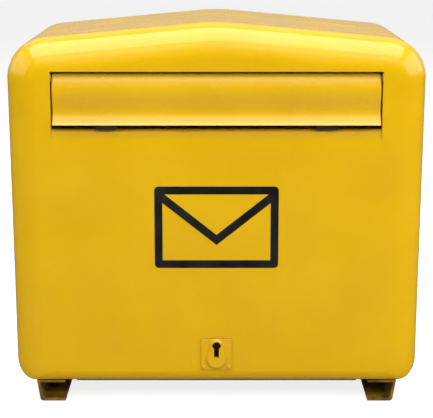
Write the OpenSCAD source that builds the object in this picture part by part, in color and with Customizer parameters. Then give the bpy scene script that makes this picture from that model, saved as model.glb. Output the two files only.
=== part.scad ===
// Wall-mounted collection letter box, emptied through a door in its floor into a bag that
// hangs on two rails. The front faces -Y and +X is on its right. The origin is the middle
// of the footprint, level with the underside of the rails.

/* [Housing] */
// Width across the top
body_w = 580; // [500:5:720]
// Height from the underside of the floor to the ridge
body_h = 508; // [420:2:640]
// Depth from the front face to the rear edge
body_d = 290; // [236:2:380]
// Wall thickness of the moulding
wall_t = 4; // [3:0.5:6]
// How much narrower each side is at the floor
side_draft = 2; // [0:0.5:8]
// Fall of each half of the roof, in degrees
roof_pitch = 5.3; // [3:0.1:8]
// Radius across the ridge
ridge_r = 300; // [100:10:400]
// Corner radius between roof and side
eave_r = 56; // [50:1:80]
// Corner radius between side and floor
heel_r = 27; // [20:1:40]
// Edge radius between front and roof
brow_r = 46; // [40:1:54]
// Edge radius between front and sides
cheek_r = 46; // [40:1:54]
// Edge radius between front and floor
chin_r = 20; // [14:1:26]
// Corner radius of the flat front panel
panel_r = 10; // [6:1:16]
// Width of the flange round the open back
rear_flange_w = 18; // [16:1:26]

/* [Letter slot] */
// Distance from the side of the housing to the slot
slot_margin = 64; // [62:1:110]
// Clear height of the slot
slot_h = 79; // [70:1:90]
// Depth of the slot's top edge below the ridge
slot_drop = 64; // [62:1:90]
// Depth of the finger recess under the flap
scoop_d = 9; // [6:0.5:12]
// Height over which the finger recess fades out
scoop_h = 32; // [20:1:44]
// Depth of the ledge behind the slot's lower edge
sill_d = 16; // [12:1:20]

/* [Letter flap] */
// Sheet thickness of the flap
flap_t = 2.5; // [1.5:0.1:3]
// Gap between the flap and each end of the slot
flap_side_gap = 1.5; // [1:0.1:4]
// Gap between the flap and the slot's top edge
flap_top_gap = 3.5; // [3:0.5:6]
// Height of the gap between the lip and the ledge
flap_foot_gap = 7; // [5:0.5:12]
// How far the flap's top edge lies behind the front face
flap_recess = 9; // [6:0.5:11]
// How far the lip stands proud of the front face
lip_proud = 6; // [5:0.5:12]
// Depth of the hollow above the lip
lip_hollow = 2.5; // [1:0.5:4]
// Radius of the flap's hinge rod
rod_r = 3; // [2.5:0.5:4]
// Running clearance round rods, pins and spigots
running_gap = 0.05; // [0.02:0.01:0.1]

/* [Slot fittings] */
// Sheet thickness of the side brackets
bracket_t = 3; // [2:0.5:4]
// Depth of the side brackets behind the front wall
bracket_d = 78; // [60:1:110]
// Radius of the studs that hold the brackets
stud_r = 2.5; // [2:0.5:3]
// Wall thickness of the rod bushes
bush_t = 2; // [1.5:0.5:3]
// Sheet thickness of the chute and the baffle
baffle_t = 1.5; // [1:0.1:2]
// How far the baffle hangs down
baffle_h = 50; // [30:1:70]
// Width of one rubber buffer
buffer_w = 30; // [16:1:60]

/* [Key plate] */
// Height of the key's axis above the underside of the floor
key_z = 57; // [52:1:90]
// Width of the key plate
plate_w = 44; // [36:1:60]
// Height of the key plate
plate_h = 47; // [44:1:60]
// Thickness of the key plate
plate_t = 2; // [1.5:0.5:3]
// Height of the boss round the keyhole
boss_h = 3; // [1:0.5:3.5]
// Radius of the keyhole's round part
key_r = 5.5; // [4:0.5:7]
// Width of the keyhole's slot
key_slot_w = 6.5; // [4:0.5:8]
// Length of the keyhole's slot below the key's axis
key_slot_l = 17; // [14:1:18]

/* [Lock] */
// Distance from the front wall to the lock
lock_standoff = 24; // [20:1:40]
// Width of the lock case
case_w = 72; // [66:1:90]
// Depth of the lock case
case_d = 22; // [20:1:30]
// Wall thickness of the lock case
case_t = 2; // [1.5:0.5:3]
// Radius of the barrel
barrel_r = 18.5; // [18.5:0.5:20]
// Turn of the barrel, in degrees
lock_turn = 60; // [50:1:70]
// Travel of the bolt
bolt_travel = 22; // [16:1:24]
// Height of the bolt
bolt_h = 10; // [8:0.5:12]
// Thickness of the bolt
bolt_t = 6; // [4:0.5:8]

/* [Rails] */
// Height of the rails
rail_h = 32; // [26:1:50]
// Wall thickness of the rails
rail_t = 4; // [3:0.5:5]
// Width of the rails' flanges
rail_w = 36; // [28:1:44]
// Distance from the side of the housing to the top of the rail
rail_margin = 32; // [28:1:60]
// How far the rail leans in from top to bottom
rail_lean = 5; // [0:0.5:8]
// Distance of the rails' front ends behind the front face
rail_front = 14; // [10:1:40]
// Radius of the rail bolts
rail_bolt_r = 3; // [2.5:0.5:4]

/* [Floor door] */
// Thickness of the door
door_t = 3; // [2:0.5:4]
// How far the door overlaps the floor opening
door_overlap = 6; // [4:1:10]
// Gap between the door and each rail
door_rail_gap = 16; // [10:1:30]
// Distance of the opening's front edge behind the front face
opening_front = 27; // [26:1:36]
// Distance of the opening's rear edge from the rear edge of the housing
opening_rear = 50; // [46:1:80]
// Gap between the shut door and the floor
door_gap = 0.3; // [0.2:0.1:1]
// Radius of the hinge pin
pin_r = 3; // [2.5:0.5:4]
// Outer radius of the hinge knuckles
knuckle_r = 6; // [5:0.5:7]
// Thickness of the inner floor frame
frame_t = 3; // [2:0.5:4]

/* [Back] */
// Thickness of the rear seal
seal_t = 2; // [1:0.5:3]
// Thickness of the back plate
back_t = 2.5; // [2:0.5:4]
// Distance between the wall holes, across
wall_hole_x = 360; // [200:10:400]
// Distance between the wall holes, up
wall_hole_z = 300; // [150:10:340]
// Radius of the wall holes
wall_hole_r = 5; // [4:0.5:7]

/* [Emblem] */
// Width of the emblem
emblem_w = 172; // [80:2:240]
// Height of the emblem
emblem_h = 116; // [50:2:160]
// Height of the emblem's middle above the underside of the floor
emblem_z = 228; // [180:1:280]
// Line width of the emblem
emblem_line = 11; // [6:1:20]
// Thickness of the emblem film
film_t = 0.3; // [0.2:0.1:0.6]

/* [Hidden] */
$fn = 48;

// Overshoot of a cut past the surface that it opens
bite = 1;
// Gap between two neighbours that move past each other or only just clear
seat_gap = 0.3;
gel_yellow = "#e0ae12";
steel_grey = "#9aa0a4";
zinc_grey = "#b8bcbe";
rubber_black = "#222222";
brass_gold = "#b8963c";

// Main planes
front_y = (body_d + seal_t + back_t + lip_proud) / -2 + lip_proud;
rear_y = front_y + body_d;
inner_y = front_y + wall_t;
floor_z = rail_h;
inner_floor_z = floor_z + wall_t;
ridge_z = floor_z + body_h;

// Outline of the housing, seen from the front
side_tilt = atan(side_draft / body_h);
roof_n = [sin(roof_pitch), cos(roof_pitch)];
side_n = [cos(side_tilt), -sin(side_tilt)];
floor_n = [0, -1];
roof_c = (ridge_z + ridge_r * (1 / cos(roof_pitch) - 1)) * cos(roof_pitch);
side_c = (body_w / 2 - side_draft) * cos(side_tilt) - floor_z * sin(side_tilt);
floor_c = -floor_z;
ridge_steps = 3;
eave_steps = 12;
heel_steps = 9;
brow_steps = 9;

function line_meet(n1, c1, n2, c2) =
    let (k = n1[0] * n2[1] - n1[1] * n2[0])
    [(c1 * n2[1] - c2 * n1[1]) / k, (c2 * n1[0] - c1 * n2[0]) / k];
function arc(c, r, a0, a1, n) =
    [for (i = [0 : n]) c + r * [cos(a0 + (a1 - a0) * i / n), sin(a0 + (a1 - a0) * i / n)]];
function ease(a, b, n) = [for (i = [0 : n]) a + (b - a) * (1 - cos(180 * i / n)) / 2];
function both_sides(right) =
    concat(right, [for (i = [len(right) - 1 : -1 : 1]) [-right[i][0], right[i][1]]]);

// One rounded outline: how far it lies inside roof, side and floor, and its corner radii
function outline(top, side, base, eave, heel) = both_sides(concat(
    arc([0, ridge_z - ridge_r], ridge_r - top, 90, 90 - roof_pitch, ridge_steps),
    arc(line_meet(roof_n, roof_c - top - eave, side_n, side_c - side - eave),
        eave, 90 - roof_pitch, -side_tilt, eave_steps),
    arc(line_meet(side_n, side_c - side - heel, floor_n, floor_c - base - heel),
        heel, -side_tilt, -90, heel_steps)));
function inset_outline(d) = outline(d, d, d, eave_r - d, heel_r - d);
panel_outline = outline(brow_r, cheek_r, chin_r, panel_r, panel_r);
edge_r = both_sides([for (r = concat(
    [for (i = [0 : ridge_steps]) brow_r],
    ease(brow_r, cheek_r, eave_steps),
    ease(cheek_r, chin_r, heel_steps))) [0, r]]);
function half_w(z) = (side_c + z * sin(side_tilt)) / cos(side_tilt);
function roof_z(x) = (roof_c - abs(x) * sin(roof_pitch)) / cos(roof_pitch);

// Letter slot and flap
slot_w = body_w - 2 * slot_margin;
slot_top = ridge_z - slot_drop;
slot_base = slot_top - slot_h;
flap_w = slot_w - 2 * flap_side_gap;
flap_top = slot_top - flap_top_gap;
flap_foot = slot_base + flap_foot_gap;
flap_h = flap_top - flap_foot;
flap_crown = flap_h * 0.38;
flap_valley = flap_h * 0.73;
flap_steps = 7;
rod_y = front_y + flap_recess + flap_t + rod_r - 1;
rod_z = flap_top - rod_r - 1;
sleeve_r = rod_r + 2;
sleeve_l = 30;
sleeve_gap = 150;

// Slot fittings
bracket_gap = 0.8;
bracket_x = slot_w / 2 + bracket_gap;
bush_flange_t = bracket_gap + flap_side_gap - 1.1;
bush_flange_r = rod_r + bush_t + 2.5;
bracket_flange_w = 16;
bracket_top = slot_top + 6;
bracket_base = slot_base - 24;
bracket_foot = slot_base + 5;
stud_x = bracket_x + bracket_flange_w * 0.6;
stud_zs = [bracket_foot + 12, slot_top - 26];
nut_h = 4;
nut_r = stud_r * 1.85;
stud_l = bracket_t + nut_h + 2;
tab_w = 14;
screw_r = 2;
screw_head_r = 3.8;
screw_head_h = 2;
screw_gap = 0.2;
chute_front_y = inner_y + scoop_d + sill_d + 2;
chute_rear_y = inner_y + bracket_d - 4;
chute_z = slot_base - 3;
chute_fall = 14;
baffle_y = inner_y + bracket_d - 8;
baffle_top = slot_top + 3;
buffer_xs = [-slot_w / 3, slot_w / 3];
buffer_h = flap_foot_gap + 3;

// Key plate
key_axis_z = floor_z + key_z;
plate_top = key_axis_z + 10;
plate_base = plate_top - plate_h;
rivet_r = 2;
rivet_head_r = 3.2;
rivet_head_h = 1.6;
rivet_x = plate_w / 2 - 4.5;
rivet_z = plate_base + 4.5;
plate_tab_w = 20;

// Lock
lock_y = inner_y + lock_standoff;
cover_y = lock_y + case_d - case_t;
bolt_y = lock_y + case_d / 2 - bolt_t / 2;
bolt_axis_z = floor_z + 17;
bolt_base = bolt_axis_z - bolt_h / 2;
case_base = bolt_base - case_t - seat_gap;
case_top = key_axis_z + barrel_r + 1.5 + case_t;
case_in = case_w / 2 - case_t;
lug_l = barrel_r + 5.5;
lug_w = 5;
lug_gap = 1.5;
notch_w = lug_w + 5;
notch_x = -bolt_travel / 2;
talon_w = notch_w + 14;
talon_top = key_axis_z - barrel_r - 1;
spigot_r = 10;
axle_r = 6;
post_r = 3;
post_in = post_r + case_t - 0.5;
ear_w = 14;
ear_base = key_axis_z - 24;
ear_xs = [-(case_w + ear_w) / 2, (case_w + ear_w) / 2];
ear_zs = [ear_base + 6, case_top - 6];
boss_r = 6;
bolt_tip = case_w / 2 - 1.5;
bolt_tail = -case_in + 2 * post_r + 1;
guide_l = 8;

// Rails
rail_top_x = body_w / 2 - rail_margin;
rail_foot_x = rail_top_x - rail_lean;
rail_in_x = rail_foot_x - rail_w;
rail_y0 = front_y + rail_front;
rail_y1 = rear_y - 10;
rail_bolt_x = (rail_in_x + rail_foot_x) / 2;
rail_bolt_ys = [rail_y0 + 40, (rail_y0 + rail_y1) / 2, rail_y1 - 40];
hex_scale = 1.8;
bolt_head_h = 4;

// Floor door
opening_x = rail_in_x - door_rail_gap - door_overlap;
opening_y0 = front_y + opening_front;
opening_y1 = rear_y - opening_rear;
door_x = opening_x + door_overlap;
door_y0 = opening_y0 - door_overlap;
door_top = floor_z - door_gap;
door_base = door_top - door_t;
hinge_y = opening_y1 + door_overlap + knuckle_r + 2;
hinge_z = floor_z - knuckle_r - 2 * door_gap;
door_y1 = hinge_y - knuckle_r - 1.2;
knuckle_gap = 0.5;
leaf_l = 30;
leaf_x = door_x - 16;
leaf_d = 22;
spring_x0 = leaf_x - 2 * leaf_l - 42;
spring_l = 26;
spring_r = 5.2;
wire_r = 0.9;
rib_h = 4;
rib_w = 14;
hinge_screw_xs = [-leaf_x + 15, 0, leaf_x - 15];
hinge_screw_y = hinge_y + leaf_d - 7;
keeper_t = 4;
keeper_x = case_w / 2 + 4;
keeper_d = 14;
keeper_y = bolt_y + bolt_t / 2 - keeper_d / 2;
keeper_top = bolt_base + bolt_h + 4;
keeper_foot_w = 18;
keeper_foot_t = 2.5;
keeper_window = 1.5;
keeper_screw_x = keeper_x + keeper_t + 8;
keeper_screw_ys = [keeper_y + 3, keeper_y + keeper_d + 8];
frame_x = half_w(floor_z) - heel_r - 3;
frame_y0 = front_y + chin_r + 2;
frame_y1 = rear_y - wall_t - nut_h - 3;

// Back
back_in = 2;
flange_mid = rear_flange_w / 2 + 1;
plate_y = rear_y + seal_t;
wall_hole_mid = floor_z + body_h * 0.48;
stiffener_h = 40;
stiffener_t = 4;
stiffener_w = wall_hole_x + 70;
back_screw_pts = concat(
    [for (x = [-0.34, 0.34]) [x * body_w, roof_z(x * body_w) - flange_mid]],
    [for (x = [-0.36, 0, 0.36]) [x * body_w, floor_z + flange_mid]],
    [for (s = [-1, 1]) for (h = [0.16, 0.48, 0.8])
        let (z = floor_z + h * body_h) [s * (half_w(z) - flange_mid), z]]);

// Extrudes a profile drawn in Y and Z along X, from x0 to x1
module along_x(x0, x1) {
    translate([x0, 0, 0]) rotate([90, 0, 90]) linear_extrude(x1 - x0) children();
}
// Extrudes a profile drawn in X and Z along Y, from y0 to y1
module along_y(y0, y1) {
    translate([0, y1, 0]) rotate([90, 0, 0]) linear_extrude(y1 - y0) children();
}
// A box given by its lowest and highest corners
module block(low, high) {
    translate(low) cube(high - low);
}
module rod_x(r, x0, x1, y, z) {
    translate([x0, y, z]) rotate([0, 90, 0]) cylinder(h = x1 - x0, r = r);
}
module rod_y(r, x, y0, y1, z) {
    translate([x, y1, z]) rotate([90, 0, 0]) cylinder(h = y1 - y0, r = r);
}
module rod_z(r, x, y, z0, z1) {
    translate([x, y, z0]) cylinder(h = z1 - z0, r = r);
}
// A hexagon nut round an axis along Y or Z, with its bore
module nut_y(r, bore, x, y0, y1, z) {
    difference() {
        translate([x, y1, z]) rotate([90, 0, 0]) cylinder(h = y1 - y0, r = r, $fn = 6);
        rod_y(bore, x, y0 - bite, y1 + bite, z);
    }
}
module nut_z(r, bore, x, y, z0, z1) {
    difference() {
        translate([x, y, z0]) cylinder(h = z1 - z0, r = r, $fn = 6);
        rod_z(bore, x, y, z0 - bite, z1 + bite);
    }
}
module mirror_pair() {
    children();
    mirror([1, 0, 0]) children();
}

// The rounded body of the housing: wall 0 is its outside, wall_t its inside
module housing_body(wall, end_y) {
    outer = inset_outline(wall);
    count = len(outer);
    angles = concat([for (i = [0 : brow_steps]) 90 * i / brow_steps]);
    rings = concat(
        [for (a = angles) for (j = [0 : count - 1])
            let (p = panel_outline[j] + (outer[j] - panel_outline[j]) * sin(a))
            [p[0], front_y + wall + (edge_r[j][1] - wall) * (1 - cos(a)), p[1]]],
        [for (p = outer) [p[0], end_y, p[1]]]);
    last = brow_steps + 1;
    walls = [for (i = [0 : last - 1]) for (j = [0 : count - 1])
        let (k = (j + 1) % count, a = i * count, b = a + count)
        each [[a + j, b + j, b + k], [a + j, b + k, a + k]]];
    front = [[for (j = [0 : count - 1]) j]];
    back = [[for (j = [count - 1 : -1 : 0]) last * count + j]];
    polyhedron(points = rings, faces = concat(front, walls, back), convexity = 4);
}

// The curved bottom of the finger recess, as points in Y and Z
function scoop_curve(shift) = [for (i = [0 : 8])
    [front_y + scoop_d * (1 - cos(90 * i / 8)) + shift, slot_base - scoop_h * (1 - sin(90 * i / 8))]];
module keyhole_shape(extra) {
    translate([0, key_axis_z]) circle(key_r + extra);
    translate([-key_slot_w / 2 - extra, key_axis_z - key_slot_l - extra])
        square([key_slot_w + 2 * extra, key_slot_l + extra]);
}

module shell() color(gel_yellow) difference() {
    union() {
        difference() {
            housing_body(0, rear_y);
            housing_body(wall_t, rear_y - wall_t);
            along_y(rear_y - wall_t - bite, rear_y + bite) polygon(inset_outline(rear_flange_w));
        }
        along_x(-slot_w / 2 - wall_t, slot_w / 2 + wall_t)
            polygon(concat(
                [[front_y + wall_t / 2, slot_base - scoop_h - wall_t]],
                [for (p = scoop_curve(0)) [max(p[0], front_y + wall_t / 2), p[1]]],
                [[front_y + scoop_d + sill_d, slot_base],
                 [front_y + scoop_d + sill_d, slot_base - wall_t]],
                [for (i = [8 : -1 : 0]) scoop_curve(wall_t)[i] - [0, wall_t]]));
        for (x = ear_xs) for (z = ear_zs) rod_y(boss_r, x, front_y + wall_t / 2, lock_y, z);
        for (z = stud_zs) mirror_pair()
            rod_y(stud_r, stud_x, front_y + wall_t / 2, inner_y + stud_l, z);
    }
    along_x(-slot_w / 2, slot_w / 2)
        polygon(concat([[front_y - bite, slot_base - scoop_h]], scoop_curve(0),
                       [[front_y - bite, slot_base]]));
    block([-slot_w / 2, front_y - bite, slot_base], [slot_w / 2, inner_y + bite, slot_top]);
    along_y(front_y - bite, inner_y + bite) keyhole_shape(1);
    for (x = [-rivet_x, rivet_x])
        rod_y(rivet_r + screw_gap, x, front_y - bite, inner_y + bite, rivet_z);
    block([-plate_tab_w / 2 - screw_gap, front_y - bite, plate_top - plate_t - screw_gap],
          [plate_tab_w / 2 + screw_gap, inner_y + bite, plate_top + screw_gap]);
    for (x = ear_xs) for (z = ear_zs)
        rod_y(screw_r + screw_gap, x, lock_y - lock_standoff + 6, lock_y + bite, z);
    block([-opening_x, opening_y0, floor_z - bite], [opening_x, opening_y1, inner_floor_z + bite]);
    for (y = rail_bolt_ys) mirror_pair()
        rod_z(rail_bolt_r + screw_gap, rail_bolt_x, y, floor_z - bite, inner_floor_z + bite);
    for (x = hinge_screw_xs)
        rod_z(screw_r + screw_gap, x, hinge_screw_y, floor_z - bite, inner_floor_z + bite);
    for (p = back_screw_pts)
        rod_y(stud_r + screw_gap, p[0], rear_y - wall_t - bite, rear_y + bite, p[1]);
}

// An envelope pictogram: a rounded frame and the two edges of its flap
module front_emblem() color("#111111") along_y(front_y - film_t, front_y)
    translate([0, floor_z + emblem_z]) {
        difference() {
            offset(6) square([emblem_w - 12, emblem_h - 12], center = true);
            square([emblem_w - 2 * emblem_line, emblem_h - 2 * emblem_line], center = true);
        }
        intersection() {
            square([emblem_w - emblem_line, emblem_h - emblem_line], center = true);
            for (s = [-1, 1]) polygon([
                [s * emblem_w / 2, emblem_h / 2], [s * emblem_w / 2, emblem_h / 2 - 1.3 * emblem_line],
                [0, -0.12 * emblem_h - emblem_line], [0, -0.12 * emblem_h + 0.3 * emblem_line]]);
        }
    }

// Square plate with a raised shield round the keyhole and a tab at the top
module key_plate() color(gel_yellow) difference() {
    union() {
        block([-plate_w / 2, front_y - plate_t, plate_base], [plate_w / 2, front_y, plate_top]);
        block([-plate_tab_w / 2, front_y - plate_t, plate_top - plate_t],
              [plate_tab_w / 2, inner_y, plate_top]);
        hull() {
            for (z = [plate_base + 17, plate_top - 11])
                translate([0, front_y - plate_t, z]) rotate([90, 0, 0])
                    cylinder(h = boss_h, r1 = z < key_axis_z - 5 ? 16 : 10.5,
                             r2 = z < key_axis_z - 5 ? 12 : 8, $fn = 32);
        }
    }
    along_y(front_y - plate_t - boss_h - bite, front_y + bite) keyhole_shape(0);
    for (x = [-rivet_x, rivet_x])
        rod_y(rivet_r + screw_gap, x, front_y - plate_t - bite, front_y + bite, rivet_z);
}

module key_plate_rivets() color(gel_yellow) for (x = [-rivet_x, rivet_x]) {
    rod_y(rivet_r, x, front_y - plate_t - bite, inner_y + rivet_head_h, rivet_z);
    rod_y(rivet_head_r, x, inner_y, inner_y + rivet_head_h, rivet_z);
    translate([x, front_y - plate_t, rivet_z]) rotate([90, 0, 0])
        cylinder(h = rivet_head_h, r1 = rivet_head_r, r2 = rivet_head_r / 2);
}

// The flap's front, from its top edge down: a crown, a shallow hollow, then the flared lip
function flap_y(u) = front_y + (
    u < flap_crown ? flap_recess * (1 - sin(90 * u / flap_crown)) :
    u < flap_valley ? lip_hollow * (1 - cos(180 * (u - flap_crown) / (flap_valley - flap_crown))) / 2 :
    lip_hollow - (lip_hollow + lip_proud) * (1 - cos(90 * (u - flap_valley) / (flap_h - flap_valley))));
flap_us = concat(
    [for (i = [0 : flap_steps - 1]) flap_crown * i / flap_steps],
    [for (i = [0 : flap_steps - 1]) flap_crown + (flap_valley - flap_crown) * i / flap_steps],
    [for (i = [0 : flap_steps]) flap_valley + (flap_h - flap_valley) * i / flap_steps]);
flap_face = [for (u = flap_us) [flap_y(u), flap_top - u]];
module letter_flap() color(gel_yellow) difference() {
    union() {
        along_x(-flap_w / 2, flap_w / 2)
            polygon(concat(flap_face, [for (i = [len(flap_face) - 1 : -1 : 0])
                flap_face[i] + [flap_t, 0]]));
        mirror_pair() along_x(flap_w / 2 - flap_t, flap_w / 2)
            polygon(concat(flap_face, [
                [front_y + flap_t + lip_hollow, flap_foot + lip_proud],
                [rod_y + sleeve_r, flap_foot + flap_h * 0.5],
                [rod_y + sleeve_r, flap_top]]));
        for (x = [-sleeve_gap, 0, sleeve_gap])
            rod_x(sleeve_r, x - sleeve_l / 2, x + sleeve_l / 2, rod_y, rod_z);
    }
    rod_x(rod_r + running_gap, -flap_w / 2 - bite, flap_w / 2 + bite, rod_y, rod_z);
}

module flap_rod() color(steel_grey)
    rod_x(rod_r, -bracket_x - bracket_t - 2, bracket_x + bracket_t + 2, rod_y, rod_z);

module flap_bushes() color("#e8e4d8") mirror_pair() difference() {
    union() {
        rod_x(bush_flange_r, bracket_x - bush_flange_t, bracket_x, rod_y, rod_z);
        rod_x(rod_r + bush_t, bracket_x, bracket_x + bracket_t + bite, rod_y, rod_z);
    }
    rod_x(rod_r + running_gap, bracket_x - bush_flange_t - bite, bracket_x + bracket_t + 2 * bite,
          rod_y, rod_z);
}

// Side cheek behind the slot, with a flange that is nutted to the front wall
module right_bracket() difference() {
    union() {
        along_x(bracket_x, bracket_x + bracket_t) polygon([
            [inner_y, bracket_foot], [chute_front_y - 2, bracket_foot],
            [chute_front_y - 2, bracket_base], [inner_y + bracket_d, bracket_base],
            [inner_y + bracket_d, bracket_top - 4], [inner_y + bracket_d - 8, bracket_top - 2],
            [inner_y + 12, bracket_top - 2], [inner_y, slot_top - 12]]);
        block([bracket_x, inner_y, bracket_foot],
              [bracket_x + bracket_flange_w, inner_y + bracket_t, slot_top - 14]);
    }
    rod_x(rod_r + bush_t, bracket_x - bite, bracket_x + bracket_t + bite, rod_y, rod_z);
    for (z = stud_zs)
        rod_y(stud_r + screw_gap, stud_x, inner_y - bite, inner_y + bracket_t + bite, z);
    for (p = tab_screws)
        rod_x(screw_r + screw_gap, bracket_x - bite, bracket_x + bracket_t + bite, p[0], p[1]);
}
module bracket_right() color(zinc_grey) right_bracket();
module bracket_left() color(zinc_grey) mirror([1, 0, 0]) right_bracket();

module bracket_nuts() color(zinc_grey) mirror_pair() for (z = stud_zs)
    nut_y(nut_r, stud_r + running_gap, stud_x, inner_y + bracket_t, inner_y + bracket_t + nut_h, z);

// Rubber blocks on the slot's ledge, which the flap's lip falls against
buffer_y = flap_y(flap_h - buffer_h + flap_foot_gap) + flap_t + seat_gap;
module flap_buffers() color(rubber_black) for (x = buffer_xs)
    block([x - buffer_w / 2, buffer_y, slot_base],
          [x + buffer_w / 2, front_y + scoop_d + sill_d, slot_base + buffer_h]);

// A sheet that runs between the brackets, with a tab at each end
chute_tab_y = (chute_front_y + chute_rear_y) / 2;
chute_tab_z = chute_z - chute_fall / 2 - tab_w / 2;
tab_screws = [[chute_tab_y, chute_tab_z], [baffle_y - tab_w / 2, baffle_top - tab_w]];
module letter_chute() color(zinc_grey) difference() {
    union() {
        along_x(-bracket_x + seat_gap, bracket_x - seat_gap) polygon([
            [chute_front_y, chute_z], [chute_rear_y, chute_z - chute_fall],
            [chute_rear_y, chute_z - chute_fall - baffle_t], [chute_front_y, chute_z - baffle_t]]);
        mirror_pair() block(
            [bracket_x - seat_gap - baffle_t, chute_tab_y - tab_w, chute_tab_z - tab_w / 2],
            [bracket_x - seat_gap, chute_tab_y + tab_w, chute_z - chute_fall / 2 - tab_w / 4]);
    }
    rod_x(screw_r + screw_gap, -bracket_x, bracket_x, chute_tab_y, chute_tab_z);
}
module slot_baffle() color(zinc_grey) difference() {
    union() {
        block([-bracket_x + seat_gap, baffle_y, baffle_top - baffle_h],
              [bracket_x - seat_gap, baffle_y + baffle_t, baffle_top]);
        mirror_pair() block(
            [bracket_x - seat_gap - baffle_t, baffle_y - tab_w, baffle_top - baffle_h],
            [bracket_x - seat_gap, baffle_y + baffle_t, baffle_top]);
    }
    rod_x(screw_r + screw_gap, -bracket_x, bracket_x, tab_screws[1][0], tab_screws[1][1]);
}
module baffle_screws() color(steel_grey) for (p = tab_screws) mirror_pair() {
    rod_x(screw_r, bracket_x - seat_gap - baffle_t - 3, bracket_x + bracket_t + bite, p[0], p[1]);
    rod_x(screw_head_r, bracket_x + bracket_t, bracket_x + bracket_t + screw_head_h, p[0], p[1]);
}

// Tube that leads the key from the front wall to the lock
module key_guide() color(steel_grey) along_y(inner_y + seat_gap, lock_y) difference() {
    keyhole_shape(3.5);
    keyhole_shape(1);
}

module lock_case() color(steel_grey) difference() {
    union() {
        difference() {
            block([-case_w / 2, lock_y, case_base], [case_w / 2, cover_y, case_top]);
            block([-case_in, lock_y + case_t, case_base + case_t],
                  [case_in, cover_y + bite, case_top - case_t]);
        }
        for (s = [-1, 1]) block(
            [min(s * case_w / 2, s * (case_w / 2 + ear_w)), lock_y, ear_base],
            [max(s * case_w / 2, s * (case_w / 2 + ear_w)), lock_y + case_t, case_top]);
        for (p = cover_posts) rod_y(post_r, p[0], lock_y + case_t / 2, cover_y, p[1]);
        block([-case_in, bolt_y - bite, bolt_base + bolt_h + seat_gap],
              [-case_in + guide_l, cover_y, bolt_base + bolt_h + seat_gap + 3]);
    }
    for (p = cover_posts) rod_y(1.25, p[0], lock_y + 6, cover_y + bite, p[1]);
    rod_y(spigot_r + running_gap, 0, lock_y - bite, lock_y + case_t + bite, key_axis_z);
    along_y(lock_y - bite, lock_y + case_t + bite) keyhole_shape(1);
    for (x = ear_xs) for (z = ear_zs)
        rod_y(screw_r + screw_gap, x, lock_y - bite, lock_y + case_t + bite, z);
    block([case_in - bite, bolt_y - seat_gap, bolt_base - seat_gap],
          [case_w / 2 + bite, bolt_y + bolt_t + seat_gap, bolt_base + bolt_h + seat_gap]);
}
cover_posts = [[-case_w / 2 + post_in, case_top - post_in], [case_w / 2 - post_in, case_top - post_in],
               [-case_w / 2 + post_in, case_base + post_in]];
module lock_cover() color(steel_grey) difference() {
    block([-case_w / 2, cover_y, case_base], [case_w / 2, cover_y + case_t, case_top]);
    rod_y(axle_r + running_gap, 0, cover_y - bite, cover_y + case_t + bite, key_axis_z);
    for (p = cover_posts) rod_y(1.25 + screw_gap, p[0], cover_y - bite, cover_y + case_t + bite, p[1]);
}
module cover_screws() color(zinc_grey) for (p = cover_posts) {
    rod_y(1.25 - running_gap, p[0], lock_y + 8, cover_y + case_t + bite, p[1]);
    rod_y(2.4, p[0], cover_y + case_t, cover_y + case_t + 1.5, p[1]);
}
module lock_screws() color(zinc_grey) for (x = ear_xs) for (z = ear_zs) {
    rod_y(screw_r, x, lock_y - 12, lock_y + case_t + bite, z);
    rod_y(screw_head_r, x, lock_y + case_t, lock_y + case_t + screw_head_h, z);
}

// Barrel with its keyway, and the lug that drives the bolt
module lock_barrel() color(brass_gold) difference() {
    union() {
        rod_y(spigot_r, 0, lock_y, lock_y + case_t + seat_gap, key_axis_z);
        rod_y(barrel_r, 0, lock_y + case_t + seat_gap, cover_y - seat_gap, key_axis_z);
        rod_y(axle_r, 0, cover_y - bite, cover_y + case_t + bite, key_axis_z);
        translate([0, 0, key_axis_z]) rotate([0, lock_turn / 2, 0])
            block([-lug_w / 2, bolt_y, -lug_l], [lug_w / 2, bolt_y + bolt_t, -barrel_r / 2]);
    }
    along_y(lock_y - bite, cover_y - 3) intersection() {
        keyhole_shape(0);
        translate([0, key_axis_z]) circle(barrel_r - bite);
    }
}

module lock_bolt() color(brass_gold) along_y(bolt_y, bolt_y + bolt_t) difference() {
    union() {
        translate([bolt_tail, bolt_base]) square([bolt_tip - bolt_tail, bolt_h]);
        translate([notch_x - talon_w / 2, bolt_base + bolt_h / 2])
            square([talon_w, talon_top - bolt_base - bolt_h / 2]);
    }
    translate([notch_x - notch_w / 2, key_axis_z - lug_l - lug_gap]) square([notch_w, lug_l]);
}

// Leaf on the case's side that bears on the bolt
module detent_spring() color(steel_grey) {
    block([case_in - guide_l, bolt_y, bolt_base + bolt_h + seat_gap],
          [case_in, bolt_y + bolt_t, bolt_base + bolt_h + seat_gap + bite]);
    block([case_in - bite, bolt_y, bolt_base + bolt_h + seat_gap],
          [case_in, bolt_y + bolt_t, bolt_base + bolt_h + 12]);
}

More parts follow.
